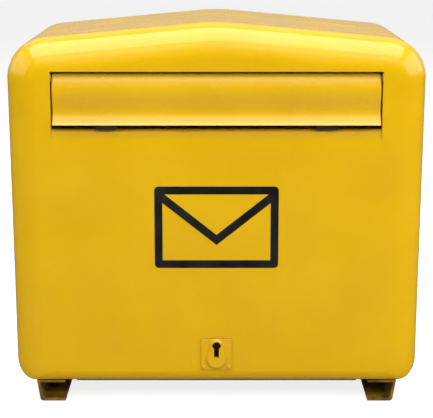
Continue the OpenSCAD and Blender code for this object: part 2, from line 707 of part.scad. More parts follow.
module rail_profile() polygon([
    [rail_in_x, 0], [rail_foot_x - 5, 0], [rail_foot_x - 1.5, 1.5], [rail_foot_x, 5],
    [rail_top_x, rail_h], [rail_in_x, rail_h], [rail_in_x, rail_h - rail_t],
    [rail_top_x - rail_t, rail_h - rail_t], [rail_foot_x - rail_t, rail_t], [rail_in_x, rail_t]]);
module right_rail() difference() {
    along_y(rail_y0, rail_y1) rail_profile();
    for (y = rail_bolt_ys)
        rod_z(rail_bolt_r + screw_gap, rail_bolt_x, y, rail_h - rail_t - bite, rail_h + bite);
}
module rail_right() color(gel_yellow) right_rail();
module rail_left() color(gel_yellow) mirror([1, 0, 0]) right_rail();
module rail_bolts() color(zinc_grey) for (y = rail_bolt_ys) mirror_pair() {
    rod_z(rail_bolt_r, rail_bolt_x, y, rail_h - rail_t - bite, inner_floor_z + frame_t + nut_h + 2);
    translate([rail_bolt_x, y, rail_h - rail_t - bolt_head_h])
        cylinder(h = bolt_head_h, r = hex_scale * rail_bolt_r, $fn = 6);
}
module rail_nuts() color(zinc_grey) for (y = rail_bolt_ys) mirror_pair()
    nut_z(hex_scale * rail_bolt_r, rail_bolt_r + running_gap, rail_bolt_x, y,
          inner_floor_z + frame_t, inner_floor_z + frame_t + nut_h);

module floor_frame() color(zinc_grey) difference() {
    block([-frame_x, frame_y0, inner_floor_z], [frame_x, frame_y1, inner_floor_z + frame_t]);
    block([-opening_x, opening_y0, inner_floor_z - bite],
          [opening_x, opening_y1, inner_floor_z + frame_t + bite]);
    for (y = rail_bolt_ys) mirror_pair() rod_z(rail_bolt_r + screw_gap, rail_bolt_x, y,
        inner_floor_z - bite, inner_floor_z + frame_t + bite);
    for (x = hinge_screw_xs) rod_z(screw_r + screw_gap, x, hinge_screw_y,
        inner_floor_z - bite, inner_floor_z + frame_t + bite);
}

// Door plate with ribs below and two hinge knuckles
module floor_door() color(steel_grey) difference() {
    union() {
        block([-door_x, door_y0, door_base], [door_x, door_y1, door_top]);
        for (x = [-door_x / 2, 0, door_x / 2])
            block([x - rib_w / 2, opening_y0 + 24, door_base - rib_h],
                  [x + rib_w / 2, door_y1 - 12, door_base]);
        mirror_pair() {
            rod_x(knuckle_r, leaf_x - 2 * leaf_l, leaf_x - leaf_l - knuckle_gap, hinge_y, hinge_z);
            block([leaf_x - 2 * leaf_l, door_y1 - bite, door_base],
                  [leaf_x - leaf_l - knuckle_gap, hinge_y, hinge_z + knuckle_r]);
        }
    }
    rod_x(pin_r + running_gap, -leaf_x, leaf_x, hinge_y, hinge_z);
    for (y = keeper_screw_ys)
        rod_z(screw_r + screw_gap, keeper_screw_x, y, door_base - bite, door_top + bite);
}

module hinge_leaf() color(steel_grey) difference() {
    union() {
        block([-leaf_x, hinge_y + knuckle_r + bite, floor_z - door_t],
              [leaf_x, hinge_y + leaf_d, floor_z]);
        mirror_pair() leaf_knuckle(leaf_x - leaf_l, leaf_x);
        leaf_knuckle(-leaf_l, leaf_l);
    }
    rod_x(pin_r, -leaf_x - bite, leaf_x + bite, hinge_y, hinge_z);
    for (x = hinge_screw_xs)
        rod_z(screw_r + screw_gap, x, hinge_screw_y, floor_z - door_t - bite, floor_z + bite);
}
module leaf_knuckle(x0, x1) {
    rod_x(knuckle_r, x0, x1, hinge_y, hinge_z);
    block([x0, hinge_y, floor_z - door_t], [x1, hinge_y + knuckle_r + 2 * bite, hinge_z + knuckle_r]);
}
module hinge_pin() color(zinc_grey) rod_x(pin_r, -leaf_x, leaf_x, hinge_y, hinge_z);
module hinge_screws() color(zinc_grey) for (x = hinge_screw_xs) {
    rod_z(screw_r, x, hinge_screw_y, floor_z - door_t - bite, inner_floor_z + frame_t + nut_h + bite);
    rod_z(screw_head_r, x, hinge_screw_y, floor_z - door_t - screw_head_h, floor_z - door_t);
    nut_z(nut_r, screw_r - running_gap, x, hinge_screw_y,
          inner_floor_z + frame_t, inner_floor_z + frame_t + nut_h);
}

// Wound springs on the hinge pin, with one leg under the floor and one under the door
module door_springs() color("#5c6064") mirror_pair() {
    difference() {
        rod_x(spring_r, spring_x0, spring_x0 + spring_l, hinge_y, hinge_z);
        rod_x(pin_r + seat_gap, spring_x0 - bite, spring_x0 + spring_l + bite, hinge_y, hinge_z);
    }
    rod_y(wire_r, spring_x0 + wire_r, hinge_y - 30, hinge_y, hinge_z - spring_r + wire_r);
    rod_y(wire_r, spring_x0 + spring_l - wire_r, hinge_y, hinge_y + leaf_d - 4,
          hinge_z - spring_r + wire_r);
}

// Upright eye on the door, which the bolt enters
module door_keeper() color(steel_grey) difference() {
    union() {
        block([keeper_x, keeper_y, door_top], [keeper_x + keeper_t, keeper_y + keeper_d, keeper_top]);
        block([keeper_x, keeper_y, door_top],
              [keeper_x + keeper_foot_w, keeper_y + keeper_d + 12, door_top + keeper_foot_t]);
    }
    block([keeper_x - bite, bolt_y - keeper_window, bolt_base - keeper_window],
          [keeper_x + keeper_t + bite, bolt_y + bolt_t + keeper_window,
           bolt_base + bolt_h + keeper_window]);
    for (y = keeper_screw_ys)
        rod_z(screw_r - running_gap, keeper_screw_x, y, door_top - bite, door_top + keeper_foot_t + bite);
}
module keeper_screws() color(zinc_grey) for (y = keeper_screw_ys) {
    rod_z(screw_r - 2 * running_gap, keeper_screw_x, y, door_base - bite,
          door_top + keeper_foot_t + bite);
    rod_z(screw_head_r, keeper_screw_x, y, door_base - screw_head_h, door_base);
}

module rear_seal() color(rubber_black) difference() {
    along_y(rear_y, plate_y) difference() {
        polygon(inset_outline(back_in));
        polygon(inset_outline(rear_flange_w - back_in));
    }
    for (p = back_screw_pts) rod_y(stud_r + screw_gap, p[0], rear_y - bite, plate_y + bite, p[1]);
}
module back_plate() color(zinc_grey) difference() {
    along_y(plate_y, plate_y + back_t) polygon(inset_outline(back_in));
    for (p = back_screw_pts)
        rod_y(stud_r + screw_gap, p[0], plate_y - bite, plate_y + back_t + bite, p[1]);
    wall_holes(plate_y, plate_y + back_t);
}
module wall_holes(y0, y1) for (x = [-1, 1]) for (z = [-1, 1])
    rod_y(wall_hole_r, x * wall_hole_x / 2, y0 - bite, y1 + bite,
          wall_hole_mid + z * wall_hole_z / 2);
module back_stiffeners() color(zinc_grey) difference() {
    for (z = [-1, 1]) translate([0, 0, wall_hole_mid + z * wall_hole_z / 2])
        block([-stiffener_w / 2, plate_y - stiffener_t, -stiffener_h / 2],
              [stiffener_w / 2, plate_y, stiffener_h / 2]);
    wall_holes(plate_y - stiffener_t, plate_y);
}
module back_screws() color(zinc_grey) for (p = back_screw_pts) {
    rod_y(stud_r, p[0], rear_y - wall_t - nut_h - 2, plate_y + back_t, p[1]);
}
module back_nuts() color(zinc_grey) for (p = back_screw_pts)
    nut_y(nut_r, stud_r + running_gap, p[0], rear_y - wall_t - nut_h, rear_y - wall_t, p[1]);

shell();
front_emblem();
key_plate();
key_plate_rivets();
letter_flap();
flap_rod();
flap_bushes();
bracket_left();
bracket_right();
bracket_nuts();
flap_buffers();
letter_chute();
slot_baffle();
baffle_screws();
lock_case();
lock_cover();
lock_barrel();
lock_bolt();
detent_spring();
key_guide();
lock_screws();
cover_screws();
floor_frame();
rail_left();
rail_right();
rail_bolts();
rail_nuts();
floor_door();
hinge_leaf();
hinge_pin();
hinge_screws();
door_springs();
door_keeper();
keeper_screws();
rear_seal();
back_plate();
back_stiffeners();
back_screws();
back_nuts();
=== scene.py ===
"""Looks of a wall letter box: gel-coated housing, letter flap, key plate, lock, rails and floor door.

Every length is in metres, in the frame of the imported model: the front faces -Y and +X is on its right.
"""

import logging
import math
from dataclasses import dataclass
from enum import Enum
from functools import cache
from typing import Callable, Iterable, Sequence

import bmesh
import bpy
from bpy.types import Material, NodeSocket, NodeTree, Object
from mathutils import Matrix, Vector


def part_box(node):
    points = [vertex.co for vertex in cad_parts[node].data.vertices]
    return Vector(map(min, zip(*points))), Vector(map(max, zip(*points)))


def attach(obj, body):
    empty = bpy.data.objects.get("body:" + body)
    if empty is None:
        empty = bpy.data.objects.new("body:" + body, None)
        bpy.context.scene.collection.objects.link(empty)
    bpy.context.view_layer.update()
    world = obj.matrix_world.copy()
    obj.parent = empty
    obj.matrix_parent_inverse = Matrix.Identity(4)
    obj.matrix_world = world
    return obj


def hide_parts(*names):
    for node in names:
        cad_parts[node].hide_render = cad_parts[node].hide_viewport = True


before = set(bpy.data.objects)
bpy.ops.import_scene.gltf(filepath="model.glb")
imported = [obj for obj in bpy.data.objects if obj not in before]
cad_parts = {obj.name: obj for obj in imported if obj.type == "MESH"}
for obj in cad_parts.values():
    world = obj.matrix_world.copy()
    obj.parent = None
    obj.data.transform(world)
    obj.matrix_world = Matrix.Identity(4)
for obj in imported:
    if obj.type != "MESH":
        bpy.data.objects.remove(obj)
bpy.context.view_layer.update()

LOG = logging.getLogger("letter_box")
MM = 0.001
BITE = 1 * MM
SAME_SPOT = 1e-7
WELD = 2e-6
Point = tuple[float, float]
Colour = tuple[float, float, float]
Ring = list[Vector]


class Body(Enum):
    """The bodies of the letter box that move apart from each other."""

    HOUSING = "housing"
    FLAP = "flap"
    BARREL = "barrel"
    BOLT = "bolt"
    DOOR = "door"


class Axis(Enum):
    """The axis that a profile is drawn along, as an index into a point."""

    X = 0
    Y = 1
    Z = 2


@cache
def extent(node: str) -> tuple[Vector, Vector]:
    """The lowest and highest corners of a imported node, measured once."""
    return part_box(node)


@cache
def loose_parts(node: str) -> tuple[tuple[Vector, Vector], ...]:
    """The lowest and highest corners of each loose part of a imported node, such as each screw of a set."""
    mesh = bmesh.new()
    mesh.from_mesh(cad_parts[node].data)
    bmesh.ops.remove_doubles(mesh, verts=mesh.verts, dist=WELD)
    rest, boxes = set(mesh.verts), []
    while rest:
        part, edge = set(), {rest.pop()}
        while edge:
            part |= edge
            edge = {link.other_vert(v) for v in edge for link in v.link_edges} - part
        rest -= part
        spots = [v.co for v in part]
        boxes.append(tuple(Vector(pick(p[i] for p in spots) for i in range(3)) for pick in (min, max)))
    mesh.free()
    return tuple(boxes)


def middles(node: str) -> list[Vector]:
    """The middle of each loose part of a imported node."""
    return [(low + high) / 2 for low, high in loose_parts(node)]


# ---------------------------------------------------------------- workbench


def work_on(piece: Object) -> None:
    """Deselects everything, then selects one piece and makes it active."""
    bpy.ops.object.select_all(action="DESELECT")
    piece.select_set(True)
    bpy.context.view_layer.objects.active = piece


def edit_all(piece: Object, *steps: Callable[[], object]) -> None:
    """Runs operators in edit mode with the whole piece selected before each.

    Args:
        piece: The mesh object.
        steps: Calls without arguments, in order.
    """
    work_on(piece)
    bpy.ops.object.mode_set(mode="EDIT")
    bpy.ops.mesh.select_mode(type="FACE")
    for step in steps:
        bpy.ops.mesh.select_all(action="SELECT")
        step()
    bpy.ops.object.mode_set(mode="OBJECT")


def close_up(piece: Object) -> None:
    """Merges doubled corners and turns every face outwards."""
    edit_all(
        piece,
        lambda: bpy.ops.mesh.remove_doubles(threshold=SAME_SPOT),
        lambda: bpy.ops.mesh.normals_make_consistent(inside=False),
    )


def apply_modifier(piece: Object, kind: str, **settings: object) -> None:
    """Adds a modifier and applies it.

    Args:
        piece: The mesh object.
        kind: The modifier's type.
        settings: Its properties.
    """
    work_on(piece)
    modifier = piece.modifiers.new(kind.lower(), kind)
    for key, value in settings.items():
        setattr(modifier, key, value)
    bpy.ops.object.modifier_apply(modifier=modifier.name)


def soften(piece: Object, width: float, segments: int = 2, angle: float = 35.0) -> None:
    """Rounds every edge that is sharper than an angle in degrees."""
    apply_modifier(
        piece,
        "BEVEL",
        width=width,
        segments=segments,
        limit_method="ANGLE",
        angle_limit=math.radians(angle),
        use_clamp_overlap=True,
    )


def smooth(piece: Object, angle: float = 32.0) -> None:
    """Shades the piece smooth below an angle, with flat faces left truly flat."""
    work_on(piece)
    bpy.ops.object.shade_smooth_by_angle(angle=math.radians(angle))
    apply_modifier(piece, "WEIGHTED_NORMAL", keep_sharp=True, weight=50)


def loft(name: str, rings: Sequence[Ring], inner_from: int | None = None) -> Object:
    """Makes a closed solid from a filled circle that is extruded from ring to ring.

    Args:
        name: The new object's name.
        rings: Closed rings with equally many corners, in order.
        inner_from: The span from which faces take the second material.

    Returns:
        The new object, with its faces turned outwards.
    """
    bpy.ops.object.select_all(action="DESELECT")
    bpy.ops.mesh.primitive_circle_add(vertices=len(rings[0]), radius=MM, fill_type="NGON")
    piece = bpy.context.object
    piece.name = piece.data.name = name
    for corner, place in zip(piece.data.vertices, rings[0]):
        corner.co = place
    bpy.ops.object.mode_set(mode="EDIT")
    bpy.ops.mesh.select_mode(type="FACE")
    bpy.ops.mesh.select_all(action="SELECT")
    order = {index: index for index in range(len(rings[0]))}
    for span, ring in enumerate(rings[1:]):
        bpy.ops.mesh.extrude_region_move()
        mesh = bmesh.from_edit_mesh(piece.data)
        mesh.verts.index_update()
        tips = [corner for corner in mesh.verts if corner.select]
        order = {tip.index: order[behind(tip).index] for tip in tips}
        for tip in tips:
            tip.co = ring[order[tip.index]]
        if inner_from is not None and span >= inner_from:
            for face in {face for tip in tips for face in tip.link_faces}:
                face.material_index = 1
        bmesh.update_edit_mesh(piece.data)
    bpy.ops.object.mode_set(mode="OBJECT")
    close_up(piece)
    return piece


def behind(tip: bmesh.types.BMVert) -> bmesh.types.BMVert:
    """The corner that a newly extruded corner came from."""
    return next(edge.other_vert(tip) for edge in tip.link_edges if not edge.other_vert(tip).select)


def carve(piece: Object, *cutters: Object, add: bool = False) -> Object:
    """Takes cutters away from a piece, or adds them to it, and removes them.

    Args:
        piece: The piece that is changed.
        cutters: Closed solids, which don't cross each other.
        add: True to add instead of taking away.

    Returns:
        The piece.
    """
    tool = join(cutters)
    apply_modifier(
        piece,
        "BOOLEAN",
        object=tool,
        operation="UNION" if add else "DIFFERENCE",
        solver="EXACT",
        material_mode="INDEX",
    )
    bpy.data.objects.remove(tool)
    return piece


def join(parts: Sequence[Object]) -> Object:
    """Joins several pieces into the first one."""
    work_on(parts[0])
    for part in parts[1:]:
        part.select_set(True)
    if len(parts) > 1:
        bpy.ops.object.join()
    return parts[0]


def settle(piece: Object) -> Object:
    """Puts a piece's place, turn and size into its mesh."""
    work_on(piece)
    bpy.ops.object.transform_apply(location=True, rotation=True, scale=True)
    return piece


def bar(name: str, radius: float, start: Vector, end: Vector, sides: int = 32) -> Object:
    """A round bar between two points.

    Args:
        name: The new object's name.
        radius: The bar's radius.
        start: The middle of one end.
        end: The middle of the other end.
        sides: The number of sides.

    Returns:
        The bar as a closed solid.
    """
    bpy.ops.object.select_all(action="DESELECT")
    way = end - start
    bpy.ops.mesh.primitive_cylinder_add(
        vertices=sides,
        radius=radius,
        depth=way.length,
        location=(start + end) / 2,
        rotation=way.to_track_quat("Z", "Y").to_euler(),
    )
    piece = bpy.context.object
    piece.name = piece.data.name = name
    return settle(piece)


def pins(node: str, radius: float, along: Axis, start: float, end: float) -> list[Object]:
    """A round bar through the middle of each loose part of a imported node.

    Args:
        node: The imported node.
        radius: The bars' radius.
        along: The axis that they lie along.
        start: Where they start on that axis.
        end: Where they end on it.

    Returns:
        The bars.
    """
    made = []
    for middle in middles(node):
        first, last = middle.copy(), middle.copy()
        first[along.value], last[along.value] = start, end
        made.append(bar("pin", radius, first, last))
    return made


# ---------------------------------------------------------------- outlines


def arc(centre: Point, radius: float, start: float, end: float, steps: int) -> list[Point]:
    """Points along an arc, with its angles in degrees."""
    turns = [math.radians(start + (end - start) * step / steps) for step in range(steps + 1)]
    return [(centre[0] + radius * math.cos(t), centre[1] + radius * math.sin(t)) for t in turns]


def line_meet(normal_a: Point, reach_a: float, normal_b: Point, reach_b: float) -> Point:
    """Where two lines meet, each given by its normal and its distance from the origin."""
    cross = normal_a[0] * normal_b[1] - normal_a[1] * normal_b[0]
    return (
        (reach_a * normal_b[1] - reach_b * normal_a[1]) / cross,
        (reach_b * normal_a[0] - reach_a * normal_b[0]) / cross,
    )


def round_box(low: Point, high: Point, radius: float, steps: int = 6) -> list[Point]:
    """A rectangle with round corners, given by its lowest and highest corners."""
    corners = (
        ((high[0] - radius, high[1] - radius), 0),
        ((low[0] + radius, high[1] - radius), 90),
        ((low[0] + radius, low[1] + radius), 180),
        ((high[0] - radius, low[1] + radius), 270),
    )
    return [p for centre, turn in corners for p in arc(centre, radius, turn, turn + 90, steps)]


def rounded(corners: Sequence[tuple[float, float, float]], steps: int = 5) -> list[Point]:
    """A polygon whose corners are rounded.

    Args:
        corners: The corners in order, each with its radius.
        steps: The number of steps of each round.

    Returns:
        The outline's points.
    """
    points: list[Point] = []
    for index, (x, y, radius) in enumerate(corners):
        here = Vector((x, y))
        back = (Vector(corners[index - 1][:2]) - here).normalized()
        ahead = (Vector(corners[(index + 1) % len(corners)][:2]) - here).normalized()
        half = back.angle(ahead) / 2
        centre = here + (back + ahead).normalized() * radius / math.sin(half)
        start = here + back * radius / math.tan(half) - centre
        end = here + ahead * radius / math.tan(half) - centre
        sweep = start.angle_signed(end)
        for step in range(steps + 1):
            turn = -sweep * step / steps
            cos, sin = math.cos(turn), math.sin(turn)
            points.append((
                centre.x + start.x * cos - start.y * sin,
                centre.y + start.x * sin + start.y * cos,
            ))
    return points


def ring_at(outline: Iterable[Point], along: Axis, place: float) -> Ring:
    """Lays a flat outline across an axis.

    Args:
        outline: Points in Y and Z across X, in X and Z across Y, or in X and Y across Z.
        along: The axis.
        place: The place on that axis.

    Returns:
        The points in space.
    """
    ring = []
    for point in outline:
        place_of = list(point)
        place_of.insert(along.value, place)
        ring.append(Vector(place_of))
    return ring


def flared(
    name: str, shape: Callable[[float], list[Point]], along: Axis, rim: float, end: float, radius: float
) -> Object:
    """A cutter that opens a hole with a round rim.

    Args:
        name: The new object's name.
        shape: Gives the hole's outline, grown by a distance.
        along: The hole's axis.
        rim: The place of the surface that the rim lies in.
        end: Where the cutter ends.
        radius: The rim's radius.

    Returns:
        The cutter.
    """
    way = 1.0 if end > rim else -1.0
    rings = [ring_at(shape(radius), along, rim - way * BITE)]
    for step in range(7):
        turn = math.radians(90 * step / 6)
        place = rim + way * radius * (1 - math.cos(turn))
        rings.append(ring_at(shape(radius * (1 - math.sin(turn))), along, place))
    rings.append(ring_at(shape(0.0), along, end))
    return loft(name, rings)


# ---------------------------------------------------------------- shader nodes


class Recipe:
    """Lays out the nodes of one material or one shared effect."""

    def __init__(self, tree: NodeTree) -> None:
        """Starts on an empty tree."""
        self.tree = tree
        tree.nodes.clear()

    def add(self, kind: str, sockets: dict | None = None, **settings: object) -> bpy.types.Node:
        """Adds a node.

        Args:
            kind: The node's type.
            sockets: What each input takes, which is a value or another node's output.
            settings: The node's properties.

        Returns:
            The node.
        """
        node = self.tree.nodes.new(kind)
        for key, value in settings.items():
            setattr(node, key, value)
        for key, value in (sockets or {}).items():
            self.feed(node.inputs[key], value)
        return node

    def feed(self, socket: NodeSocket, value: object) -> None:
        """Links an output to a socket, or sets the socket's value."""
        if isinstance(value, NodeSocket):
            self.tree.links.new(value, socket)
        else:
            socket.default_value = value

    def place(self) -> NodeSocket:
        """The point of the surface, in the frame of the letter box."""
        return self.add("ShaderNodeTexCoord").outputs["Object"]

    def stretch(self, at: NodeSocket, scale: Colour) -> NodeSocket:
        """A place with each of its axes scaled."""
        return self.add("ShaderNodeMapping", {"Vector": at, "Scale": scale}).outputs[0]

    def noise(self, at: NodeSocket, scale: object, detail: float = 3.0) -> NodeSocket:
        """Cloudy noise around one half."""
        return self.add("ShaderNodeTexNoise", {"Vector": at, "Scale": scale, "Detail": detail}).outputs[0]

    def calc(self, operation: str, first: object, second: object = 0.0) -> NodeSocket:
        """One sum on one or two numbers."""
        return self.add("ShaderNodeMath", {0: first, 1: second}, operation=operation).outputs[0]

    def fade(
        self, value: NodeSocket, low: object, high: object, start: object = 0.0, end: object = 1.0
    ) -> NodeSocket:
        """Turns a range of numbers smoothly into another one, and holds it at both ends."""
        sockets = {"Value": value, "From Min": low, "From Max": high, "To Min": start, "To Max": end}
        return self.add("ShaderNodeMapRange", sockets, interpolation_type="SMOOTHSTEP").outputs[0]

    def tint(self, share: object, first: object, second: object) -> NodeSocket:
        """Mixes two colours, each an output or red, green and blue."""
        wide = [(*c, 1.0) if isinstance(c, tuple) else c for c in (first, second)]
        sockets = {0: share, 6: wide[0], 7: wide[1]}
        return self.add("ShaderNodeMix", sockets, data_type="RGBA").outputs[2]

    def split(self, at: NodeSocket) -> tuple[NodeSocket, NodeSocket, NodeSocket]:
        """The three numbers of a vector."""
        return tuple(self.add("ShaderNodeSeparateXYZ", {0: at}).outputs)

    def bump(self, height: NodeSocket, depth: float) -> NodeSocket:
        """A normal from a height between nought and one, whose full depth is in metres."""
        return self.add("ShaderNodeBump", {"Height": height, "Distance": depth}).outputs[0]


@dataclass(frozen=True)
class Effect:
    """A surface effect that several finishes share, as a node group with one output.

    Attributes:
        name: The group's name.
        inputs: The group's number inputs, each with its default.
        draw: Lays the effect's nodes and returns what the group puts out.
    """

    name: str
    inputs: tuple[tuple[str, float], ...]
    draw: Callable[[Recipe, dict[str, NodeSocket]], NodeSocket]

    def tree(self) -> NodeTree:
        """The node group, which is built at its first use."""
        if self.name in bpy.data.node_groups:
            return bpy.data.node_groups[self.name]
        tree = bpy.data.node_groups.new(self.name, "ShaderNodeTree")
        recipe = Recipe(tree)
        tree.interface.new_socket("Place", in_out="INPUT", socket_type="NodeSocketVector")
        for title, default in self.inputs:
            socket = tree.interface.new_socket(title, in_out="INPUT", socket_type="NodeSocketFloat")
            socket.default_value = default
        tree.interface.new_socket("Value", in_out="OUTPUT", socket_type="NodeSocketFloat")
        entry = recipe.add("NodeGroupInput")
        recipe.add("NodeGroupOutput", {"Value": self.draw(recipe, {s.name: s for s in entry.outputs})})
        return tree

    def on(self, recipe: Recipe, at: NodeSocket, **values: float) -> NodeSocket:
        """Places the effect in a material.

        Args:
            recipe: The material's recipe.
            at: The place on the surface.
            values: The effect's inputs, by name.

        Returns:
            The effect's output.
        """
        sockets = {"Place": at} | {key.capitalize(): value for key, value in values.items()}
        node = recipe.add("ShaderNodeGroup", node_tree=self.tree())
        for key, value in sockets.items():
            recipe.feed(node.inputs[key], value)
        return node.outputs[0]


def draw_ripple(recipe: Recipe, given: dict[str, NodeSocket]) -> NodeSocket:
    """The shallow waves of sprayed or moulded gloss, as a height."""
    wide = recipe.noise(given["Place"], recipe.calc("DIVIDE", 1.0, given["Size"]), 1.0)
    fine = recipe.noise(given["Place"], recipe.calc("DIVIDE", 9.0, given["Size"]), 2.0)
    return recipe.calc("ADD", wide, recipe.calc("MULTIPLY", fine, given["Fine"]))


def draw_smudge(recipe: Recipe, given: dict[str, NodeSocket]) -> NodeSocket:
    """Soft patches between a low and a high value."""
    cloud = recipe.noise(given["Place"], recipe.calc("DIVIDE", 1.0, given["Size"]), 4.0)
    return recipe.fade(cloud, 0.3, 0.7, given["Low"], given["High"])


def draw_dust(recipe: Recipe, given: dict[str, NodeSocket]) -> NodeSocket:
    """Dust that settles on what faces up, as a mask."""
    up = recipe.split(recipe.add("ShaderNodeTexCoord").outputs["Normal"])[2]
    lie = recipe.fade(up, 0.25, 0.98)
    cloud = recipe.fade(recipe.noise(given["Place"], 21.0, 6.0), 0.32, 0.72)
    speck = recipe.fade(recipe.noise(given["Place"], 170.0, 2.0), 0.45, 0.8)
    both = recipe.calc("ADD", recipe.calc("MULTIPLY", cloud, 0.7), recipe.calc("MULTIPLY", speck, 0.18))
    return recipe.calc("MULTIPLY", recipe.calc("MULTIPLY", lie, both), given["Amount"])


def draw_streaks(recipe: Recipe, given: dict[str, NodeSocket]) -> NodeSocket:
    """Rain marks that run down upright faces, as a mask."""
    run = recipe.stretch(given["Place"], (70.0, 70.0, 3.2))
    trail = recipe.fade(recipe.noise(run, 1.0, 4.0), 0.52, 0.78)
    patch = recipe.fade(recipe.noise(given["Place"], 7.0, 2.0), 0.4, 0.65)
    return recipe.calc("MULTIPLY", recipe.calc("MULTIPLY", trail, patch), given["Amount"])


def draw_grain(recipe: Recipe, given: dict[str, NodeSocket]) -> NodeSocket:
    """Fine lines of rolled or brushed metal along X, as a height."""
    lines = recipe.stretch(given["Place"], (14.0, 1500.0, 1500.0))
    coarse = recipe.stretch(given["Place"], (5.0, 320.0, 320.0))
    fine = recipe.calc("MULTIPLY", recipe.noise(lines, 1.0, 3.0), given["Fine"])
    return recipe.calc("ADD", fine, recipe.noise(coarse, 1.0, 2.0))


def draw_spangle(recipe: Recipe, given: dict[str, NodeSocket]) -> NodeSocket:
    """The crystals of hot-dip zinc, as a value for each crystal."""
    scale = recipe.calc("DIVIDE", 1.0, given["Size"])
    warp = recipe.noise(given["Place"], recipe.calc("MULTIPLY", scale, 1.5), 2.0)
    moved = recipe.add("ShaderNodeVectorMath", {0: given["Place"], 1: (0.0, 0.0, 0.0)}, operation="ADD")
    drift = recipe.add("ShaderNodeVectorMath", {0: (0.006, 0.006, 0.006), "Scale": warp}, operation="SCALE")
    recipe.feed(moved.inputs[1], drift.outputs[0])
    cells = recipe.add("ShaderNodeTexVoronoi", {"Vector": moved.outputs[0], "Scale": scale})
    return recipe.split(cells.outputs["Color"])[0]


def draw_chips(recipe: Recipe, given: dict[str, NodeSocket]) -> NodeSocket:
    """Small ragged chips and rubbed spots, as a mask."""
    scale = recipe.calc("DIVIDE", 1.0, given["Size"])
    spots = recipe.noise(given["Place"], scale, 8.0)
    edge = recipe.calc("SUBTRACT", 1.0, given["Cover"])
    return recipe.fade(spots, edge, recipe.calc("ADD", edge, 0.03))


RIPPLE = Effect("gloss_ripple", (("Size", 0.03), ("Fine", 0.1)), draw_ripple)
SMUDGE = Effect("soft_smudge", (("Size", 0.05), ("Low", 0.0), ("High", 1.0)), draw_smudge)
DUST = Effect("settled_dust", (("Amount", 0.3),), draw_dust)
STREAKS = Effect("rain_streaks", (("Amount", 0.3),), draw_streaks)
GRAIN = Effect("metal_grain", (("Fine", 0.4),), draw_grain)
SPANGLE = Effect("zinc_spangle", (("Size", 0.012),), draw_spangle)
CHIPS = Effect("paint_chips", (("Size", 0.01), ("Cover", 0.3)), draw_chips)


# ---------------------------------------------------------------- finishes

YELLOW = (0.79, 0.462, 0.0002)
RAIN_MARK = (0.36, 0.22, 0.03)
# Dark brown for painted shade on faces that turn away from the front, such as turned edges and sloped sides.
EDGE_SHADE = (0.12, 0.055, 0.004)
DUST_TONE = (0.55, 0.45, 0.27)
ZINC_BLOOM = (0.62, 0.63, 0.62)


@dataclass(frozen=True)
class Finish:
    """A surface finish.

    Attributes:
        name: The material's name.
        slot: The record's material slot, which is not used.
        colour: The clean surface's colour.
        roughness: The clean surface's roughness.
    """

    name: str
    slot: str
    colour: Colour
    roughness: float

    def material(self) -> Material:
        """The material, which is built at its first use."""
        title = f"{self.name}_finish"
        if title in bpy.data.materials:
            return bpy.data.materials[title]
        made = bpy.data.materials.new(title)
        made.use_nodes = True
        recipe = Recipe(made.node_tree)
        shader = recipe.add("ShaderNodeBsdfPrincipled", {"Base Color": (*self.colour, 1.0)})
        shader.inputs["Roughness"].default_value = self.roughness
        recipe.add("ShaderNodeOutputMaterial", {"Surface": shader.outputs[0]})
        self.lay(recipe, shader.inputs)
        return made

    def lay(self, recipe: Recipe, into: bpy.types.NodeInputs) -> None:
        """Adds the finish's own nodes. Each kind of finish has its own.

        Args:
            recipe: The material's recipe.
            into: The shader's inputs.
        """
        raise NotImplementedError


@dataclass(frozen=True)
class Gloss(Finish):
    """Glossy yellow: a gel coat or a stoved paint, with ripple, dust, rain marks and painted shade on faces
    that turn away from the front.

    Attributes:
        ripple: The width of the ripple's waves.
        depth: The depth of the ripple's waves.
        dust: How much dust lies on what faces up.
        streaks: How strong the rain marks are.
        coat: Weight of the clear top layer.
        coat_rough: Roughness of that layer.
        dirt_and_edge_shade: How much painted shade darkens the faces that turn away from the front, such as
            edges and sloped sides.
    """

    ripple: float = 0.03
    depth: float = 0.00006
    dust: float = 0.2
    streaks: float = 0.1
    coat: float = 0.25
    coat_rough: float = 0.08
    dirt_and_edge_shade: float = 0.0

    def lay(self, recipe: Recipe, into: bpy.types.NodeInputs) -> None:
        """Adds tone, dust, rain marks, painted shade on faces that turn away from the front, and ripple."""
        at = recipe.place()
        deep = tuple(c * s for c, s in zip(self.colour, (0.93, 0.88, 0.8)))
        tone = recipe.tint(SMUDGE.on(recipe, at, size=0.11, low=0.0, high=0.6), self.colour, deep)
        marks = STREAKS.on(recipe, at, amount=self.streaks)
        marked = recipe.tint(marks, tone, RAIN_MARK)
        # Painted shade: faces that turn away from the front and back, such as turned edges and sloped sides,
        # are darkened towards a dark brown.
        facing = recipe.split(recipe.add("ShaderNodeTexCoord").outputs["Normal"])[1]
        side = recipe.fade(recipe.calc("ABSOLUTE", facing), 0.9, 0.35)
        marked = recipe.tint(recipe.calc("MULTIPLY", side, self.dirt_and_edge_shade), marked, EDGE_SHADE)
        dust = DUST.on(recipe, at, amount=self.dust)
        recipe.feed(into["Base Color"], recipe.tint(dust, marked, DUST_TONE))
        gloss = SMUDGE.on(recipe, at, size=0.06, low=self.roughness - 0.03, high=self.roughness + 0.05)
        dull = recipe.calc("MULTIPLY", recipe.calc("ADD", dust, marks), 0.5)
        recipe.feed(into["Roughness"], recipe.calc("ADD", gloss, dull))
        waves = RIPPLE.on(recipe, at, size=self.ripple, fine=0.12)
        recipe.feed(into["Normal"], recipe.bump(waves, self.depth))
        into["Coat Weight"].default_value = self.coat
        into["Coat Roughness"].default_value = self.coat_rough


